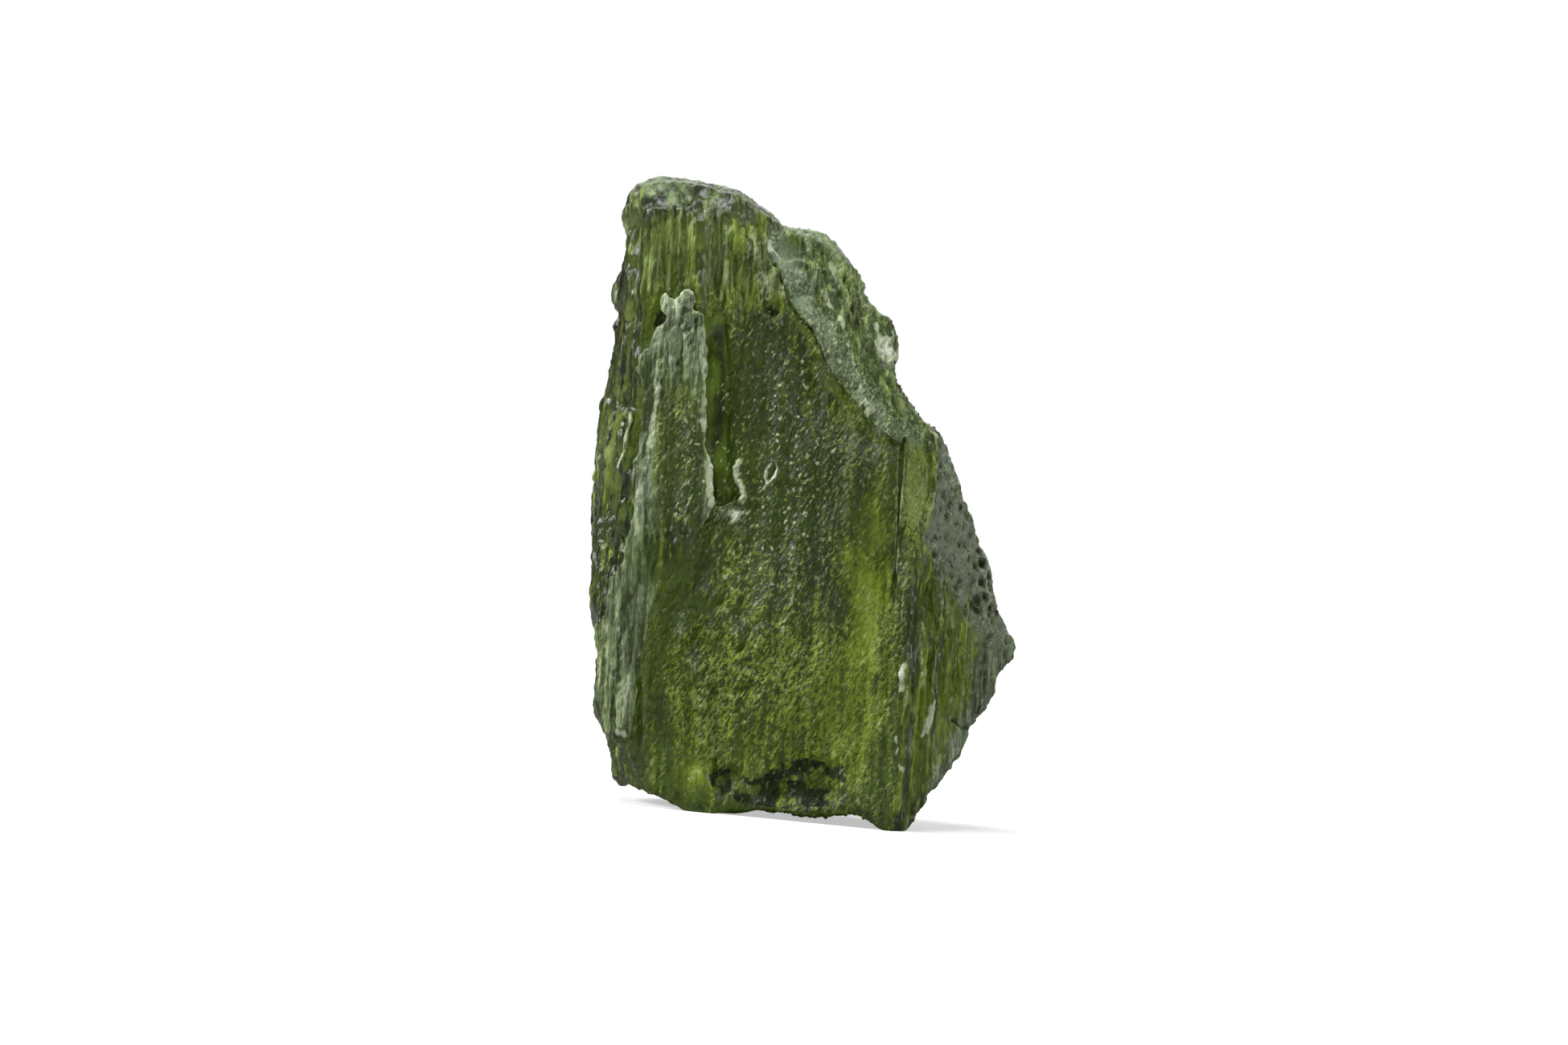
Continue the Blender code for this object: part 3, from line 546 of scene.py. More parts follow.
def front_detail(uv, ragged, plate, groove, below, tongue):
    """Crisp ledges, lines, craters and pits of the front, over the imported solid's own softer ones."""
    u, v = uv.T
    plate_kept = 1.0 - 0.85 * hollow(uv, *PLATE_FADES)
    plate_kept *= 1.0 - 0.5 * (1.0 - ease(u, -5.6, -5.0)) * (1.0 - ease(v, 19.0, 20.0))
    left_bank = 1.0 - ease(u, -2.8, -2.5) * ease(v, 13.4, 13.8)
    left_bank *= 1.0 - ease(v, 19.6, 20.6)
    edge_kept = ease(v, 14.9, 15.6) * (1.0 - ease(v, 22.6, 23.2))
    away, along = distance_to_path(uv, FURROW)
    height = plate_kept * ledge(plate, *PLATE_LEDGE) + left_bank * ledge(groove, *GROOVE_LEDGE)
    height += edge_kept * ledge(below, *EDGE_LEDGE) + ledge(tongue, *TONGUE_LEDGE)
    height += ledge(away, *FURROW_LEDGE) * (1.0 - ease(along, 0.7, 1.0))
    wavy = uv + ragged[:, None] * 0.5
    for path, half_width, rise in RIDGES:
        height += ridge(wavy, path, half_width, rise)
    for path, half_width, depth in CUTS:
        height -= ridge(wavy, path, half_width, depth)
    for middle, radius in RINGS:
        height += ring(uv + ragged[:, None] * 0.8, middle, radius)
    for middle, half_sizes, depth in DARK_PITS:
        height -= depth * hollow(uv + ragged[:, None] * 2.0, middle, half_sizes)
    return height


def patched(uv, ragged, patches):
    """The sum of soft oval patches, each with its own amount."""
    wavy = uv + 2.0 * ragged[:, None]
    return sum(amount * hollow(wavy, middle, half_sizes) for middle, half_sizes, amount in patches)


def added(masks, amounts):
    """The sum of the named masks, each by its amount."""
    return sum(amount * masks[name] for name, amount in amounts.items())


def front_masks(uv, facing, ragged, plate, groove, below, tongue):
    """Where each kind of surface lies, 0 to 1."""
    u, v = uv.T
    _, back_facing, up_facing = facing.T
    lit_top = 0.6 * np.clip(up_facing, 0.0, 1.0) * ease(-back_facing, 0.0, 0.2)
    front = ease(lit_top - back_facing, 0.1, 0.4)
    groove_edge = 0.2 + 0.3 * ease(u, -2.9, -2.5) + 0.4 * ease(v, 19.5, 20.5)
    skin = front * ease(plate, *MASK_EDGE)
    band = front * ease(-below, *MASK_EDGE) * ease(v, 14.9, 15.8)
    pitted = front * ease(side_of_path(uv, PITTED_FROM), 0.0, 0.4) * ease(v, 6.8, 7.6)
    margin = front * ease(side_of_path(uv, RIGHT_MARGIN) + 2.0 * ragged, 0.0, 0.3) * (1.0 - pitted)
    brow = band * (1.0 - ease(-below + 1.5 * ragged, 0.6, 1.1))
    away, along = distance_to_path(uv, FURROW)
    furrow = front * (1.0 - ease(away + 0.3 * ragged, 0.13, 0.28)) * (1.0 - ease(along, 0.85, 1.0))
    blue_away, _ = distance_to_path(uv + ragged[:, None], BLUE_BAND)
    top = ease(up_facing, *TOP_FACING) * ease(v, 19.0, 21.0)
    return {
        "all": 1.0,
        "front": front,
        "behind": 1.0 - front,
        "skin": skin,
        "plate_middle": front * hollow(uv + 2.0 * ragged[:, None], *PLATE_MIDDLE),
        "in_groove": front * ease(groove, 0.0, groove_edge),
        "in_tongue": front * ease(tongue, 0.0, 0.2),
        "band": band,
        "brow": brow,
        "upper_band": band - brow,
        "pitted": pitted,
        "lower_right": front * ease(side_of_path(uv, LOWER_RIGHT), 0.0, 0.3) * (1.0 - pitted),
        "wrinkled": front * hollow(uv, *WRINKLED) * (1.0 - skin),
        "scaly": front * hollow(uv, *SCALY) * (1.0 - skin),
        "flank": front * (1.0 - ease(u, -6.6, -5.8)) * (1.0 - skin),
        "crown": front * ease(v, 20.0, 21.5),
        "foot": front * (1.0 - ease(v, 5.0, 9.0)),
        "sole": front * (1.0 - ease(v, 1.1, 2.2)),
        "top": top,
        "front_top": front * top,
        "top_edge": ease(up_facing, *EDGE_FACING) * ease(v, 20.0, 22.0),
        "margin": margin * (1.0 - ease(v, 7.2, 7.8)),
        "furrow": furrow,
        "blue_band": front * (1.0 - ease(blue_away, 0.15, 0.4)),
        "glinting_middle": front * hollow(uv, *GLINTING_MIDDLE),
    }


def texture_height(points, flow, crumbled, crumbs, masks):
    """The height of the flow lines, steps, scales, crumbs and small pits."""
    fluted = masks["fluted"]
    threads = HIGH["threads"] * crests(flow, *THREADS) + HIGH["fine_threads"] * crests(flow, *FINE_THREADS)
    texture = fluted * (threads + HIGH["strips"] * terraces(flow, *STRIPS))
    bent = crumbled + 0.35 * grain(points, *BENDING)[:, None]
    texture += HIGH["scales"] * scales(bent, *SCALES) * masks["scaly"]
    texture += HIGH["steps"] * terraces(crumbled, *CRUMB_STEPS) * added(masks, STEPPED)
    texture += HIGH["peeling"] * crests(crumbled, *PEELING) * (1.0 + masks["band"]) + HIGH["crumbs"] * crumbs
    return texture - added(masks, PITTING) * pits(leaned(points, PIT_LEAN), *SMALL_PITS)


def dark_mask(points, uv):
    """Torn near-black patches over the pits."""
    dark = np.zeros(len(points))
    for middle, half_sizes, _ in DARK_PITS:
        dark = np.maximum(dark, hollow(uv, middle, half_sizes))
    coarse, fine = TEARING
    torn = 0.9 * grain(points, *coarse) + 0.6 * grain(points, *fine)
    return ease(dark + torn, 0.3, 0.8) * ease(dark, 0.0, 0.25)


def pale_and_highlight_mask(uv, ragged, crumbs):
    """Crumbling pale lines and flakes, partly painted highlights and a painted reflection."""
    pale = np.zeros(len(uv))
    for path, half_width, amount in PALE_AND_HIGHLIGHTS:
        away, along = distance_to_path(uv + 0.7 * ragged[:, None], path)
        streak = amount * (1.0 - ease(away, 0.4 * half_width, half_width))
        pale = np.maximum(pale, streak * ease(along, *PATH_START) * (1.0 - ease(along, *PATH_END)))
    return pale * np.maximum(0.9 + 0.8 * crumbs, 0.5 * pale)


def work_surface(mesh):
    """Works the fine relief, writes the masks of the glass and returns how far each point faces back."""
    points, facing = vertex_arrays(mesh)
    facing = blurred(mesh, facing, 4)
    facing /= np.linalg.norm(facing, axis=1, keepdims=True)
    uv = points[:, [0, 2]]
    flow = points.copy()
    flow[:, 0] -= FLOW_LEAN * (points[:, 2] - MIDDLE_V)
    crumbled = leaned(points, CRUMB_LEAN)
    crumbs = grain(crumbled, *CRUMB_GRAIN)
    ragged = 0.13 * grain(points, *RAGGED_GRAIN) + 0.03 * crumbs
    ledges = front_ledges(uv, ragged)
    masks = front_masks(uv, facing, ragged, *ledges)
    front = masks["front"]
    smooth = 0.95 * masks["in_groove"] + 0.8 * masks["in_tongue"]
    masks["fluted"] = added(masks, FLUTED) * (1.0 - smooth)

    texture = texture_height(points, flow, crumbled, crumbs, masks)
    quiet = 0.8 * hollow(uv, *QUIET) * front * (1.0 - masks["in_groove"])
    calm = added(masks, CALMED) + front * patched(uv, ragged, CALM)
    height = front * front_detail(uv, ragged, *ledges)
    height += texture * np.clip(1.0 - 0.9 * calm - quiet, 0.08, 1.0)

    row_from_stone = np.array(to_stone_frame().inverted())
    above_floor = (points @ row_from_stone[2, :3] + row_from_stone[2, 3]) / MILLIMETRE
    height = (height - 0.04) * ease(above_floor, 0.0, 0.4)
    mesh.vertices.foreach_set("co", (points + facing * height[:, None]).ravel())
    mesh.update()

    raised = np.clip(height - blurred(mesh, height, 12), -0.15, 0.15)
    masks["raised"] = raised
    masks["dark"] = dark_mask(points, uv)
    frost = added(masks, FROST) + front * patched(uv, ragged, FROSTED)
    # painted shade where the front turns away, along the furrow, and on the right margin and the top edge
    rim = 0.17 * np.maximum(masks["margin"], masks["top_edge"])
    painted_edge_shade = front * (0.5 - 0.5 * front + 0.02 * masks["furrow"] + rim)
    values = {
        # raised crests get more skin and greyer skin, painted lighter as if lit; hollows is painted relief
        # shading, darker in creases, pits and at the edges, lighter on crests
        "frost": frost * (1.0 - 0.92 * masks["in_groove"]) + 2.2 * raised,
        "grey": added(masks, GREY) + front * patched(uv, ragged, GREYED),
        "dark": masks["dark"] * front,
        "calm": calm,
        "glow": added(masks, GLOW) + front * patched(uv, ragged, GLOWING),
        "pitted": masks["pitted"],
        "coat": added(masks, COAT),
        "hollows": 0.5 - (3.0 + 3.5 * masks["pitted"]) * raised + painted_edge_shade,
        "fluted": masks["fluted"],
        "glinting": added(masks, GLINTING),
        "pale": pale_and_highlight_mask(uv, ragged, crumbs) * front,
    }
    for name, value in values.items():
        put_attribute(mesh, name, value)
    return facing[:, 1]


def stone_mesh(settings):
    """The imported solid's own mesh, merged, refined and worked to its fine relief."""
    bm = bmesh.new()
    bm.from_mesh(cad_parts["moldavite"].data)
    bmesh.ops.transform(bm, matrix=to_stone_frame(), verts=bm.verts)
    bmesh.ops.remove_doubles(bm, verts=bm.verts, dist=0.0005)
    mesh = bpy.data.meshes.new("moldavite_glass")
    bm.to_mesh(mesh)
    bm.free()
    stone = bpy.data.objects.new("moldavite_glass", mesh)
    bpy.context.scene.collection.objects.link(stone)
    remesh = stone.modifiers.new("grain", "REMESH")
    remesh.mode = "VOXEL"
    remesh.voxel_size = settings.grain
    soften = stone.modifiers.new("soften", "SMOOTH")
    soften.factor = 0.5
    soften.iterations = settings.softening
    bake_modifiers(stone)
    facing_back = work_surface(stone.data)
    behind = stone.vertex_groups.new(name="behind")
    behind.add(list(range(len(facing_back))), FRONT_WEIGHT, "REPLACE")
    behind.add(np.flatnonzero(facing_back > BACK_FACING).tolist(), 1.0, "REPLACE")
    return stone


def settle(stone, settings):
    """Thins the mesh to its limit, puts it in the row frame and keeps its worn flats on the floor."""
    stone.data.calc_loop_triangles()
    thin = stone.modifiers.new("fewer_faces", "DECIMATE")
    thin.ratio = min(1.0, settings.triangles / len(stone.data.loop_triangles))
    thin.vertex_group = "behind"
    thin.vertex_group_factor = settings.front_kept
    bake_modifiers(stone)
    stone.vertex_groups.clear()
    stone.data.transform(to_stone_frame().inverted())
    bm = bmesh.new()
    bm.from_mesh(stone.data)
    low, high = CAD_BOX
    for vert in bm.verts:
        sunk = BASE_SINK * (1.0 - ease(vert.co.z, 0.0, 6.0 * BASE_SINK))
        vert.co.z -= sunk
        vert.co = [min(max(value, least), most) for value, least, most in zip(vert.co, low, high)]
    bm.to_mesh(stone.data)
    bm.free()
    stone.data.shade_smooth()


def feed(tree, socket, value):
    """Links the socket to an output, or sets it to a number or a colour."""
    if isinstance(value, bpy.types.NodeSocket):
        tree.links.new(value, socket)
    elif socket.type == "RGBA":
        socket.default_value = (*value, 1.0)
    else:
        socket.default_value = value


def new_node(tree, kind, sockets=None, **values):
    """A shader node, with its properties and its numbered or named sockets set."""
    node = tree.nodes.new(kind)
    for name, value in values.items():
        setattr(node, name, value)
    for name, value in (sockets or {}).items():
        feed(tree, node.inputs[name], value)
    return node


def mapped(tree, sizes, lean):
    """Object coordinates in grains of these sizes, in millimetres along u, depth and v, leaned right."""
    place = new_node(tree, "ShaderNodeTexCoord")
    sockets = {
        "Vector": place.outputs["Object"],
        "Rotation": (0.0, radians(lean - REST_LEAN), 0.0),
        "Scale": [size * MILLIMETRE for size in sizes],
    }
    return new_node(tree, "ShaderNodeMapping", sockets, vector_type="TEXTURE").outputs["Vector"]


def noise_socket(tree, sizes, lean, detail, roughness):
    """Noise with grains of these sizes, in millimetres."""
    sockets = {"Vector": mapped(tree, sizes, lean), "Scale": 1.0, "Detail": detail, "Roughness": roughness}
    return new_node(tree, "ShaderNodeTexNoise", sockets).outputs["Fac"]


def attribute(tree, name):
    return new_node(tree, "ShaderNodeAttribute", attribute_name=name).outputs["Fac"]


def ranged(tree, value, change):
    """The value, moved smoothly from its first two numbers to the other two."""
    names = ("From Min", "From Max", "To Min", "To Max")
    sockets = {"Value": value, **dict(zip(names, change))}
    return new_node(tree, "ShaderNodeMapRange", sockets, interpolation_type="SMOOTHSTEP").outputs["Result"]


def calculated(tree, operation, first, second, clamp=False):
    node = new_node(tree, "ShaderNodeMath", {0: first, 1: second}, operation=operation, use_clamp=clamp)
    return node.outputs["Value"]


def plus(tree, first, second, clamp=False):
    return calculated(tree, "ADD", first, second, clamp)


def times(tree, first, second):
    return calculated(tree, "MULTIPLY", first, second)


def blended(tree, factor, first, second):
    """A number between two numbers."""
    sockets = {"Factor": factor, 2: first, 3: second}
    return new_node(tree, "ShaderNodeMix", sockets, data_type="FLOAT").outputs[0]


def mixed(tree, factor, first, second):
    """A colour between two colours."""
    sockets = {"Factor": factor, 6: first, 7: second}
    return new_node(tree, "ShaderNodeMix", sockets, data_type="RGBA").outputs[2]


def specks(tree, sizes, lean, radius, share, wobble):
    """Small angular specks of uneven strength in a share of the cells, whose sizes are in millimetres."""
    sockets = {"Vector": mapped(tree, sizes, lean), "Scale": 1.0}
    texture = new_node(tree, "ShaderNodeTexVoronoi", sockets, distance="MANHATTAN")
    split = new_node(tree, "ShaderNodeSeparateColor", {"Color": texture.outputs["Color"]})
    chosen = calculated(tree, "LESS_THAN", split.outputs["Red"], share)
    strength = ranged(tree, split.outputs["Green"], (0.0, 1.0, 0.35, 1.0))
    reach = plus(tree, texture.outputs["Distance"], ranged(tree, wobble, (0.3, 0.7, radius, -radius)))
    dot = ranged(tree, reach, (0.65 * radius, radius, 1.0, 0.0))
    return times(tree, dot, times(tree, chosen, strength))


# Noise of the skin: grain sizes, lean, detail and roughness
FLOW_DEGREES = degrees(atan(FLOW_LEAN))
CRUMB_NOISE = ((0.1, 0.13, 0.24), CRUMB_LEAN, 3.0, 0.65)
STREAK_NOISE = ((0.3, 0.34, 3.6), FLOW_DEGREES, 4.0, 0.75)
WIDE_STREAK_NOISE = ((0.5, 0.6, 5.0), FLOW_DEGREES, 3.0, 0.65)
MOTTLE_NOISE = ((0.6, 0.7, 0.9), CRUMB_LEAN, 4.0, 0.7)
PATCH_NOISE = ((2.0, 2.0, 3.8), FLOW_DEGREES, 3.0, 0.6)
ROW_NOISE = ((0.4, 0.4, 2.2), PIT_LEAN, 2.0, 0.6)
# Specks: cell sizes, lean, radius and the share of the cells that has one
# painted shade: dark specks in the dimples of the pitted face
PIT_SHADE_SPECKS = ((0.3, 0.34, 0.44), PIT_LEAN, 0.5, 0.9)
# painted glints: tiny highlights painted as pale specks
FINE_GLINTS = ((0.18, 0.2, 0.24), CRUMB_LEAN, 0.42, 0.5)
LARGE_GLINTS = ((0.42, 0.5, 0.6), CRUMB_LEAN, 0.24, 0.5)
# How each value of the skin follows from noise or a mask: from, to, and what it is at those two
RANGES = {
    "dark": (1.2, 1.5, 0.0, 0.95),
    "streaky": (0.35, 0.85, 0.0, 1.0),
    "broadly_streaky": (0.15, 0.6, 0.0, 1.0),
    "lively": (0.0, 1.0, 1.0, 0.12),
    "clear_roughness": (0.0, 0.7, 0.25, 0.32),
    "broad_swing": (0.38, 0.62, -0.48, 0.48),
    "calm_swing": (0.0, 1.0, 1.0, 0.4),
    "patch_swing": (0.35, 0.65, -0.24, 0.24),
    "patch_grey": (0.3, 0.7, -0.3, 0.1),
    "shade": (0.4, 0.55, 0.85, 0.0),
    "crease_shade": (0.56, 0.9, 0.0, 0.9),
    "fleck_and_highlight": (0.54, 0.64, 0.0, 0.85),
    "open_coat": (0.1, 0.7, 1.0, 0.25),
    "crest": (0.12, 0.4, 0.45, 0.0),
    "rows": (0.44, 0.54, 0.2, 1.0),
    "pale": (1.0, 1.55, 0.0, 0.95),
    "bright": (0.85, 1.0, 0.0, 0.55),
    "patch_cover": (0.35, 0.65, -0.06, 0.06),
    "cover": (0.56, 0.84, 0.0, 1.0),
}
REFRACTION = 1.49
FINE_BUMP = 0.00007  # metres
ROUGH_BUMP = 0.00022


def glass_material(settings):
    """Clear green glass under a frosty, etched skin."""
    material = bpy.data.materials.new("etched_green_glass")
    material.use_nodes = True
    tree = material.node_tree
    tree.nodes.clear()

    crumb = noise_socket(tree, *CRUMB_NOISE)
    streak = noise_socket(tree, *STREAK_NOISE)
    wide_streak = noise_socket(tree, *WIDE_STREAK_NOISE)
    mottle = noise_socket(tree, *MOTTLE_NOISE)
    patch = noise_socket(tree, *PATCH_NOISE)
    frost = attribute(tree, "frost")
    calm = attribute(tree, "calm")
    hollows = attribute(tree, "hollows")
    fluted = attribute(tree, "fluted")
    torn = times(tree, plus(tree, crumb, mottle), 0.5)
    dark = ranged(tree, plus(tree, attribute(tree, "dark"), torn), RANGES["dark"])
    grainy = blended(tree, ranged(tree, fluted, RANGES["streaky"]), crumb, streak)
    broad = blended(tree, ranged(tree, fluted, RANGES["broadly_streaky"]), mottle, wide_streak)
    lively = ranged(tree, calm, RANGES["lively"])
    bumps = times(tree, grainy, lively)
    fine_bump, rough_bump = (
        new_node(tree, "ShaderNodeBump", {"Strength": 1.0, "Distance": distance, "Height": bumps})
        for distance in (FINE_BUMP, ROUGH_BUMP)
    )

    swing = times(tree, ranged(tree, broad, RANGES["broad_swing"]), ranged(tree, calm, RANGES["calm_swing"]))
    swing = plus(tree, swing, ranged(tree, patch, RANGES["patch_swing"]))
    # the painted glow of light through the glass
    glow = plus(tree, attribute(tree, "glow"), swing, True)
    greyness = plus(tree, attribute(tree, "grey"), ranged(tree, patch, RANGES["patch_grey"]), True)
    # painted shade in the low grain of the bump, and painted highlights on its high grain, partly the skin's
    # own light crumbs
    shade = times(tree, ranged(tree, grainy, RANGES["shade"]), lively)
    # painted relief shading: crease shade in creases, pits and at the edges, and crest highlights on crests
    crease_shade = ranged(tree, hollows, RANGES["crease_shade"])
    fleck_and_highlight = times(tree, ranged(tree, grainy, RANGES["fleck_and_highlight"]), lively)
    fleck_colour = mixed(tree, greyness, settings.fleck_and_highlight, settings.flake)
    coat = times(tree, attribute(tree, "coat"), ranged(tree, crease_shade, RANGES["open_coat"]))
    crest = ranged(tree, hollows, RANGES["crest"])
    rows = ranged(tree, noise_socket(tree, *ROW_NOISE), RANGES["rows"])
    # dark pit specks, painted shade in the dimples
    pits = times(tree, times(tree, specks(tree, *PIT_SHADE_SPECKS, crumb), rows), attribute(tree, "pitted"))
    broken = plus(tree, times(tree, crumb, 0.8), times(tree, streak, 0.7))
    pale = ranged(tree, plus(tree, attribute(tree, "pale"), broken), RANGES["pale"])
    # the strongest pale marks get a painted white highlight
    bright = ranged(tree, attribute(tree, "pale"), RANGES["bright"])
    fine_glints = specks(tree, *FINE_GLINTS, crumb)
    large_glints = specks(tree, *LARGE_GLINTS, crumb)
    glints = calculated(tree, "MAXIMUM", fine_glints, large_glints)
    glints = times(tree, glints, attribute(tree, "glinting"))
    colour = settings.skin_deep
    # painted light in this stack: the glow of light through the glass; shade in the low grain, creases and
    # pits; highlights on high grain, crests, rims and glints, and a painted reflection spot
    for factor, over in (
        (glow, settings.skin_painted_glow),
        (greyness, settings.skin_grey),
        (shade, settings.skin_shade),
        (crease_shade, settings.skin_shade),
        (fleck_and_highlight, fleck_colour),
        (coat, settings.coat),
        (crest, settings.flake),
        (pits, settings.skin_shade),
        (pale, settings.flake),
        (bright, settings.painted_white_highlight),
        (dark, settings.near_black),
        (glints, settings.painted_glint),
    ):
        colour = mixed(tree, factor, colour, over)

    pattern = times(tree, plus(tree, broad, grainy), 0.5)
    pattern = plus(tree, pattern, times(tree, frost, 0.5))
    pattern = plus(tree, pattern, ranged(tree, patch, RANGES["patch_cover"]))
    cover = ranged(tree, pattern, RANGES["cover"])
    for mask in (dark, crease_shade, pale, fleck_and_highlight, pits, times(tree, glints, 0.8)):
        cover = calculated(tree, "MAXIMUM", cover, mask)

    clear = new_node(tree, "ShaderNodeBsdfPrincipled", {
        "Base Color": settings.clear_tint,
        "Transmission Weight": 1.0,
        "IOR": REFRACTION,
        "Specular IOR Level": 0.1,
        "Roughness": ranged(tree, frost, RANGES["clear_roughness"]),
        "Normal": fine_bump.outputs["Normal"],
    })
    skin = new_node(tree, "ShaderNodeBsdfPrincipled", {
        "Base Color": colour,
        "Roughness": 0.26,
        "IOR": REFRACTION,
        "Specular IOR Level": 0.19,
        "Normal": rough_bump.outputs["Normal"],
    })
    depth = {"Color": settings.depth_colour, "Density": settings.depth_density}
    volume = new_node(tree, "ShaderNodeVolumeAbsorption", depth)
    shaders = {"Fac": cover, 1: clear.outputs["BSDF"], 2: skin.outputs["BSDF"]}
    mix = new_node(tree, "ShaderNodeMixShader", shaders)
    surface = {"Surface": mix.outputs["Shader"], "Volume": volume.outputs["Volume"]}
    new_node(tree, "ShaderNodeOutputMaterial", surface)
    return material


def tint(name, description, default):
    """A colour setting."""
    return FloatVectorProperty(name=name, description=description, subtype="COLOR", default=default)


class MoldaviteGlassSettings(PropertyGroup):
    grain: FloatProperty(name="Grain", description="Voxel of the refined mesh, in millimetres", default=0.06)
    softening: IntProperty(name="Softening", description="Rounds of smoothing before the relief", default=14)
    triangles: IntProperty(name="Triangles", description="Most triangles of the stone", default=196000)
    front_kept: FloatProperty(name="Front kept", description="Pull of the thinning weights", default=0.002)
    clear_tint: tint("Clear tint", "Tint of light through the surface", (0.9, 0.95, 0.8))
    depth_colour: tint("Depth colour", "Colour left by the depth of the glass", (0.47, 0.56, 0.01))
    depth_density: FloatProperty(name="Depth density", description="Absorption for each metre", default=770.0)
    skin_deep: tint("Deep skin", "Etched skin over deep glass", (0.045, 0.082, 0.005))
    # painted glow: the skin's colour where light through the glass is painted in
    skin_painted_glow: tint("Bright skin", "Etched skin where light comes through", (0.2, 0.275, 0.026))
    skin_grey: tint("Grey skin", "Frosty skin", (0.205, 0.265, 0.16))
    # light crumbs, also the painted highlights on the high grain
    fleck_and_highlight: tint("Fleck", "Light crumbs of the skin", (0.27, 0.36, 0.06))
    # painted shade: the skin in the hollows of its grain, in its creases and in the pits of the right face
    skin_shade: tint("Skin shade", "Skin in the hollows of its grain", (0.018, 0.028, 0.003))
    coat: tint("Coat", "Grey coat of the pitted face", (0.2, 0.24, 0.17))
    # also the colour of the painted highlights on crests and rims
    flake: tint("Flake", "Pale edges and flakes", (0.5, 0.57, 0.36))
    # painted white highlight on the strongest pale marks
    painted_white_highlight: tint("Bright flake", "Whitest flakes", (0.8, 0.86, 0.8))
    # painted glint: tiny highlights painted into the skin's colour
    painted_glint: tint("Glint", "Tiny bright specks of broken glass", (0.68, 0.75, 0.45))
    # near-black colour of the torn patches over the pits
    near_black: tint("Inclusion", "Near-black glass in the pits", (0.012, 0.017, 0.006))


class MoldaviteStageSettings(PropertyGroup):
    frame_width: FloatProperty(
        name="Frame width", description="Width seen at the stone", default=0.0624, unit="LENGTH"
    )
    distance: FloatProperty(name="Distance", description="Camera to stone", default=0.32, unit="LENGTH")
    elevation: FloatProperty(
        name="Elevation", description="Camera above the level", default=radians(1.5), subtype="ANGLE"
    )
    backdrop: FloatProperty(name="Backdrop", description="Brightness of the white surroundings", default=1.0)
    surroundings: FloatProperty(name="Surroundings", description="Light from the surroundings", default=0.08)


class MOLDAVITE_OT_dress_stone(Operator):
    """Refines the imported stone, works its fine relief and gives it etched green glass"""

    bl_idname = "moldavite.dress_stone"
    bl_label = "Dress the stone"

    def execute(self, context):
        settings = context.scene.moldavite_glass
        stone = stone_mesh(settings)
        settle(stone, settings)
        stone.data.materials.clear()
        stone.data.materials.append(glass_material(settings))
        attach(stone, "root")
        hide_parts("moldavite")
        return {"FINISHED"}


# Square soft lights: place and size in metres, and power
LIGHTS = {
    "back_panel": ((0.0, 0.3, 0.14), 0.3, 0.42),
    "left_softbox": ((-0.27, -0.07, 0.18), 0.12, 1.2),
    "right_softbox": ((0.29, -0.06, 0.1), 0.12, 0.4),
    "top_softbox": ((-0.04, -0.08, 0.3), 0.16, 0.8),
}
LIT_SPOT = (0.0, 0.0, 0.012)
LOOK_AT = (-0.32, 0.0, 12.26)  # in the stone's frame, in millimetres
FLOOR_RADIUS = 0.2
WHITE = (1.0, 1.0, 1.0)


def area_light(name, place, size, power):
    light = bpy.data.lights.new(name, "AREA")
    light.size = size
    light.energy = power
    obj = bpy.data.objects.new(name, light)
    obj.location = place
    obj.rotation_mode = "QUATERNION"
    obj.rotation_quaternion = (Vector(place) - Vector(LIT_SPOT)).to_track_quat("Z", "Y")
    obj.visible_camera = False
    bpy.context.scene.collection.objects.link(obj)


def seen_or_lit(tree, seen, lit, output):
    """Shows the camera one shader, and everything else the other."""
    path = new_node(tree, "ShaderNodeLightPath")
    shaders = {"Fac": path.outputs["Is Camera Ray"], 1: lit.outputs[0], 2: seen.outputs[0]}
    mix = new_node(tree, "ShaderNodeMixShader", shaders)
    new_node(tree, output, {"Surface": mix.outputs["Shader"]})


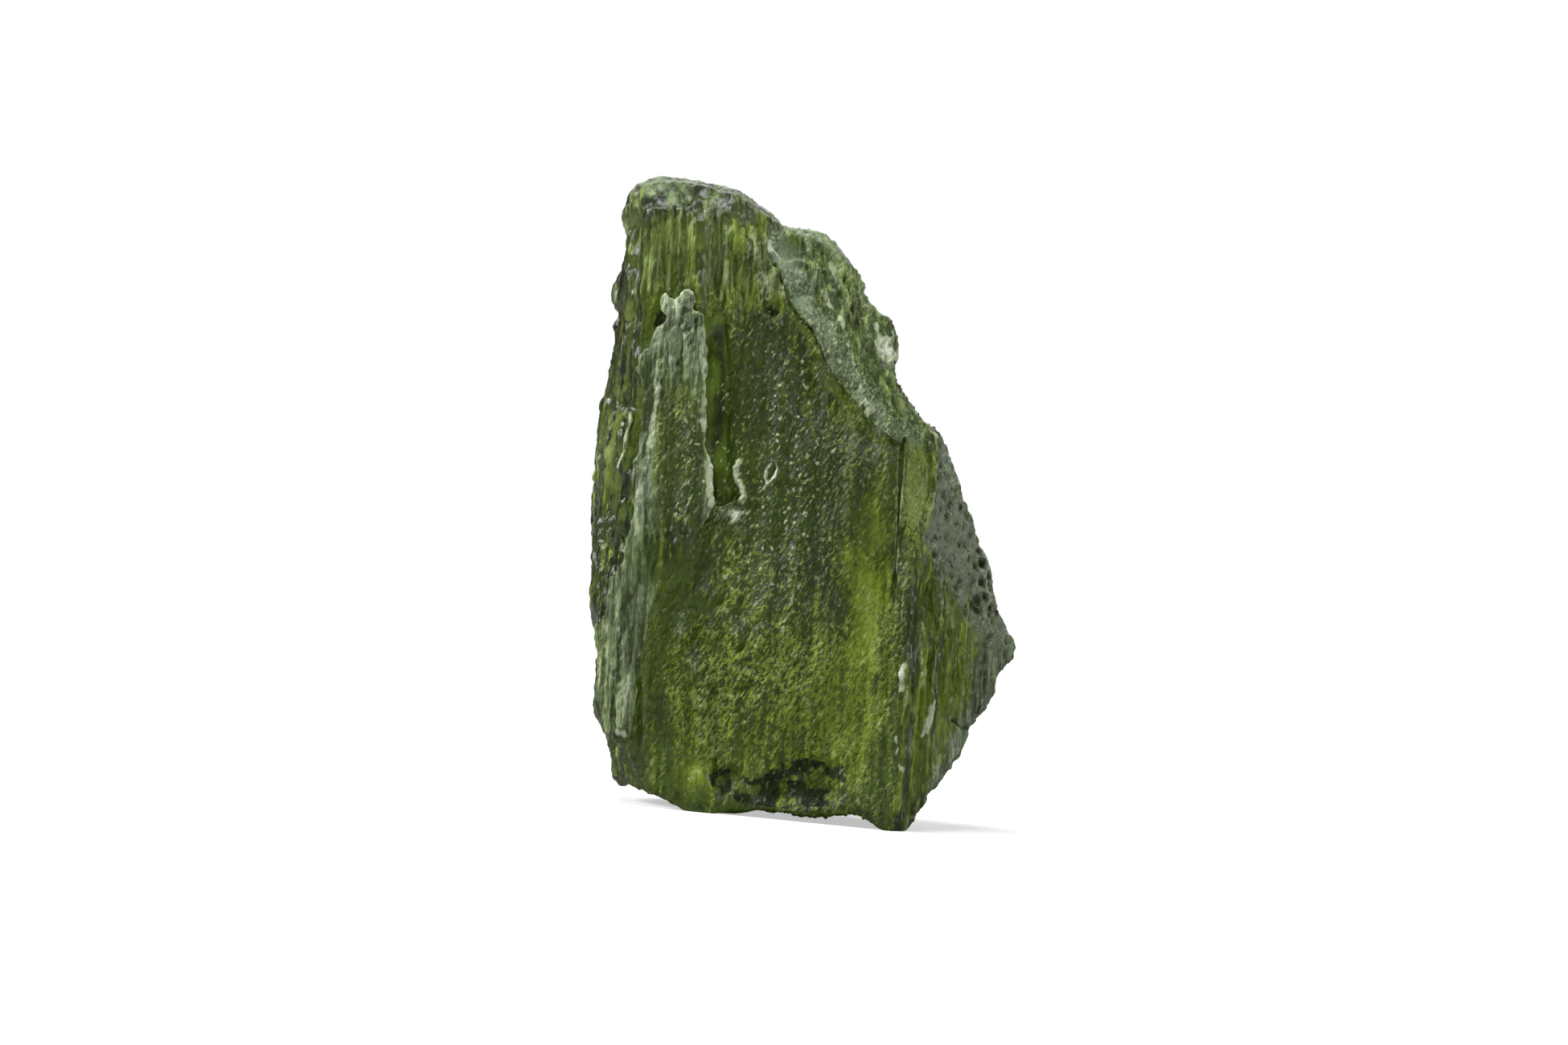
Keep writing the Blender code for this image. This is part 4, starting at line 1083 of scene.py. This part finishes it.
class MOLDAVITE_OT_set_stage(Operator):
    """Makes the pale floor, the white surroundings, the soft lights and the camera"""

    bl_idname = "moldavite.set_stage"
    bl_label = "Set the stage"

    def execute(self, context):
        settings = context.scene.moldavite_stage
        self.floor()
        self.surroundings(settings)
        self.lights()
        self.camera(settings)
        context.scene.view_settings.view_transform = "Standard"
        return {"FINISHED"}

    def floor(self):
        bm = bmesh.new()
        bmesh.ops.create_circle(bm, cap_ends=True, segments=96, radius=FLOOR_RADIUS)
        mesh = bpy.data.meshes.new("floor")
        bm.to_mesh(mesh)
        bm.free()
        floor = bpy.data.objects.new("floor", mesh)
        bpy.context.scene.collection.objects.link(floor)
        mesh.materials.append(self.floor_material())

    def floor_material(self):
        """Pale to the camera, and dimmer to the light that it throws back on the stone."""
        material = bpy.data.materials.new("pale_floor")
        material.use_nodes = True
        tree = material.node_tree
        tree.nodes.clear()
        seen = new_node(tree, "ShaderNodeBsdfPrincipled", {
            "Base Color": (0.6, 0.6, 0.6),
            "Roughness": 1.0,
            "Specular IOR Level": 0.0,
            "Emission Color": WHITE,
            "Emission Strength": 0.5,
        })
        lit = new_node(tree, "ShaderNodeBsdfDiffuse", {"Color": (0.35, 0.35, 0.35)})
        seen_or_lit(tree, seen, lit, "ShaderNodeOutputMaterial")
        return material

    def surroundings(self, settings):
        world = bpy.data.worlds.new("white_surroundings")
        world.use_nodes = True
        tree = world.node_tree
        tree.nodes.clear()
        seen = new_node(tree, "ShaderNodeBackground", {"Strength": settings.backdrop, "Color": WHITE})
        lit = new_node(tree, "ShaderNodeBackground", {"Strength": settings.surroundings, "Color": WHITE})
        seen_or_lit(tree, seen, lit, "ShaderNodeOutputWorld")
        bpy.context.scene.world = world

    def lights(self):
        for name, (place, size, power) in LIGHTS.items():
            area_light(name, place, size, power)

    def camera(self, settings):
        upright = to_stone_frame().inverted()
        target = upright @ Vector(LOOK_AT)
        turn = Matrix.Rotation(-settings.elevation, 3, "X")
        lean = Matrix.Rotation(radians(-REST_LEAN), 3, "Y")
        away = lean @ (turn @ Vector((0.0, -1.0, 0.0)))
        up = lean @ (turn @ Vector((0.0, 0.0, 1.0)))
        right = up.cross(away)
        data = bpy.data.cameras.new("camera")
        data.lens = data.sensor_width * settings.distance / settings.frame_width
        camera = bpy.data.objects.new("camera", data)
        bpy.context.scene.collection.objects.link(camera)
        place = Matrix((right, up, away)).transposed().to_4x4()
        place.translation = target + away * settings.distance
        camera.matrix_world = place
        bpy.context.scene.camera = camera


class MOLDAVITE_PT_panel(Panel):
    bl_label = "Moldavite"
    bl_idname = "MOLDAVITE_PT_panel"
    bl_space_type = "VIEW_3D"
    bl_region_type = "UI"
    bl_category = "Moldavite"

    def draw(self, context):
        for group, operator in (
            (context.scene.moldavite_glass, MOLDAVITE_OT_dress_stone),
            (context.scene.moldavite_stage, MOLDAVITE_OT_set_stage),
        ):
            box = self.layout.box()
            for name in group.__annotations__:
                box.prop(group, name)
            box.operator(operator.bl_idname)


CLASSES = (
    MoldaviteGlassSettings,
    MoldaviteStageSettings,
    MOLDAVITE_OT_dress_stone,
    MOLDAVITE_OT_set_stage,
    MOLDAVITE_PT_panel,
)


def register():
    for cls in CLASSES:
        register_class(cls)
    bpy.types.Scene.moldavite_glass = PointerProperty(type=MoldaviteGlassSettings)
    bpy.types.Scene.moldavite_stage = PointerProperty(type=MoldaviteStageSettings)


def unregister():
    del bpy.types.Scene.moldavite_stage
    del bpy.types.Scene.moldavite_glass
    for cls in reversed(CLASSES):
        unregister_class(cls)


def main():
    register()
    bpy.ops.moldavite.dress_stone()
    bpy.ops.moldavite.set_stage()


if __name__ == "__main__":
    main()
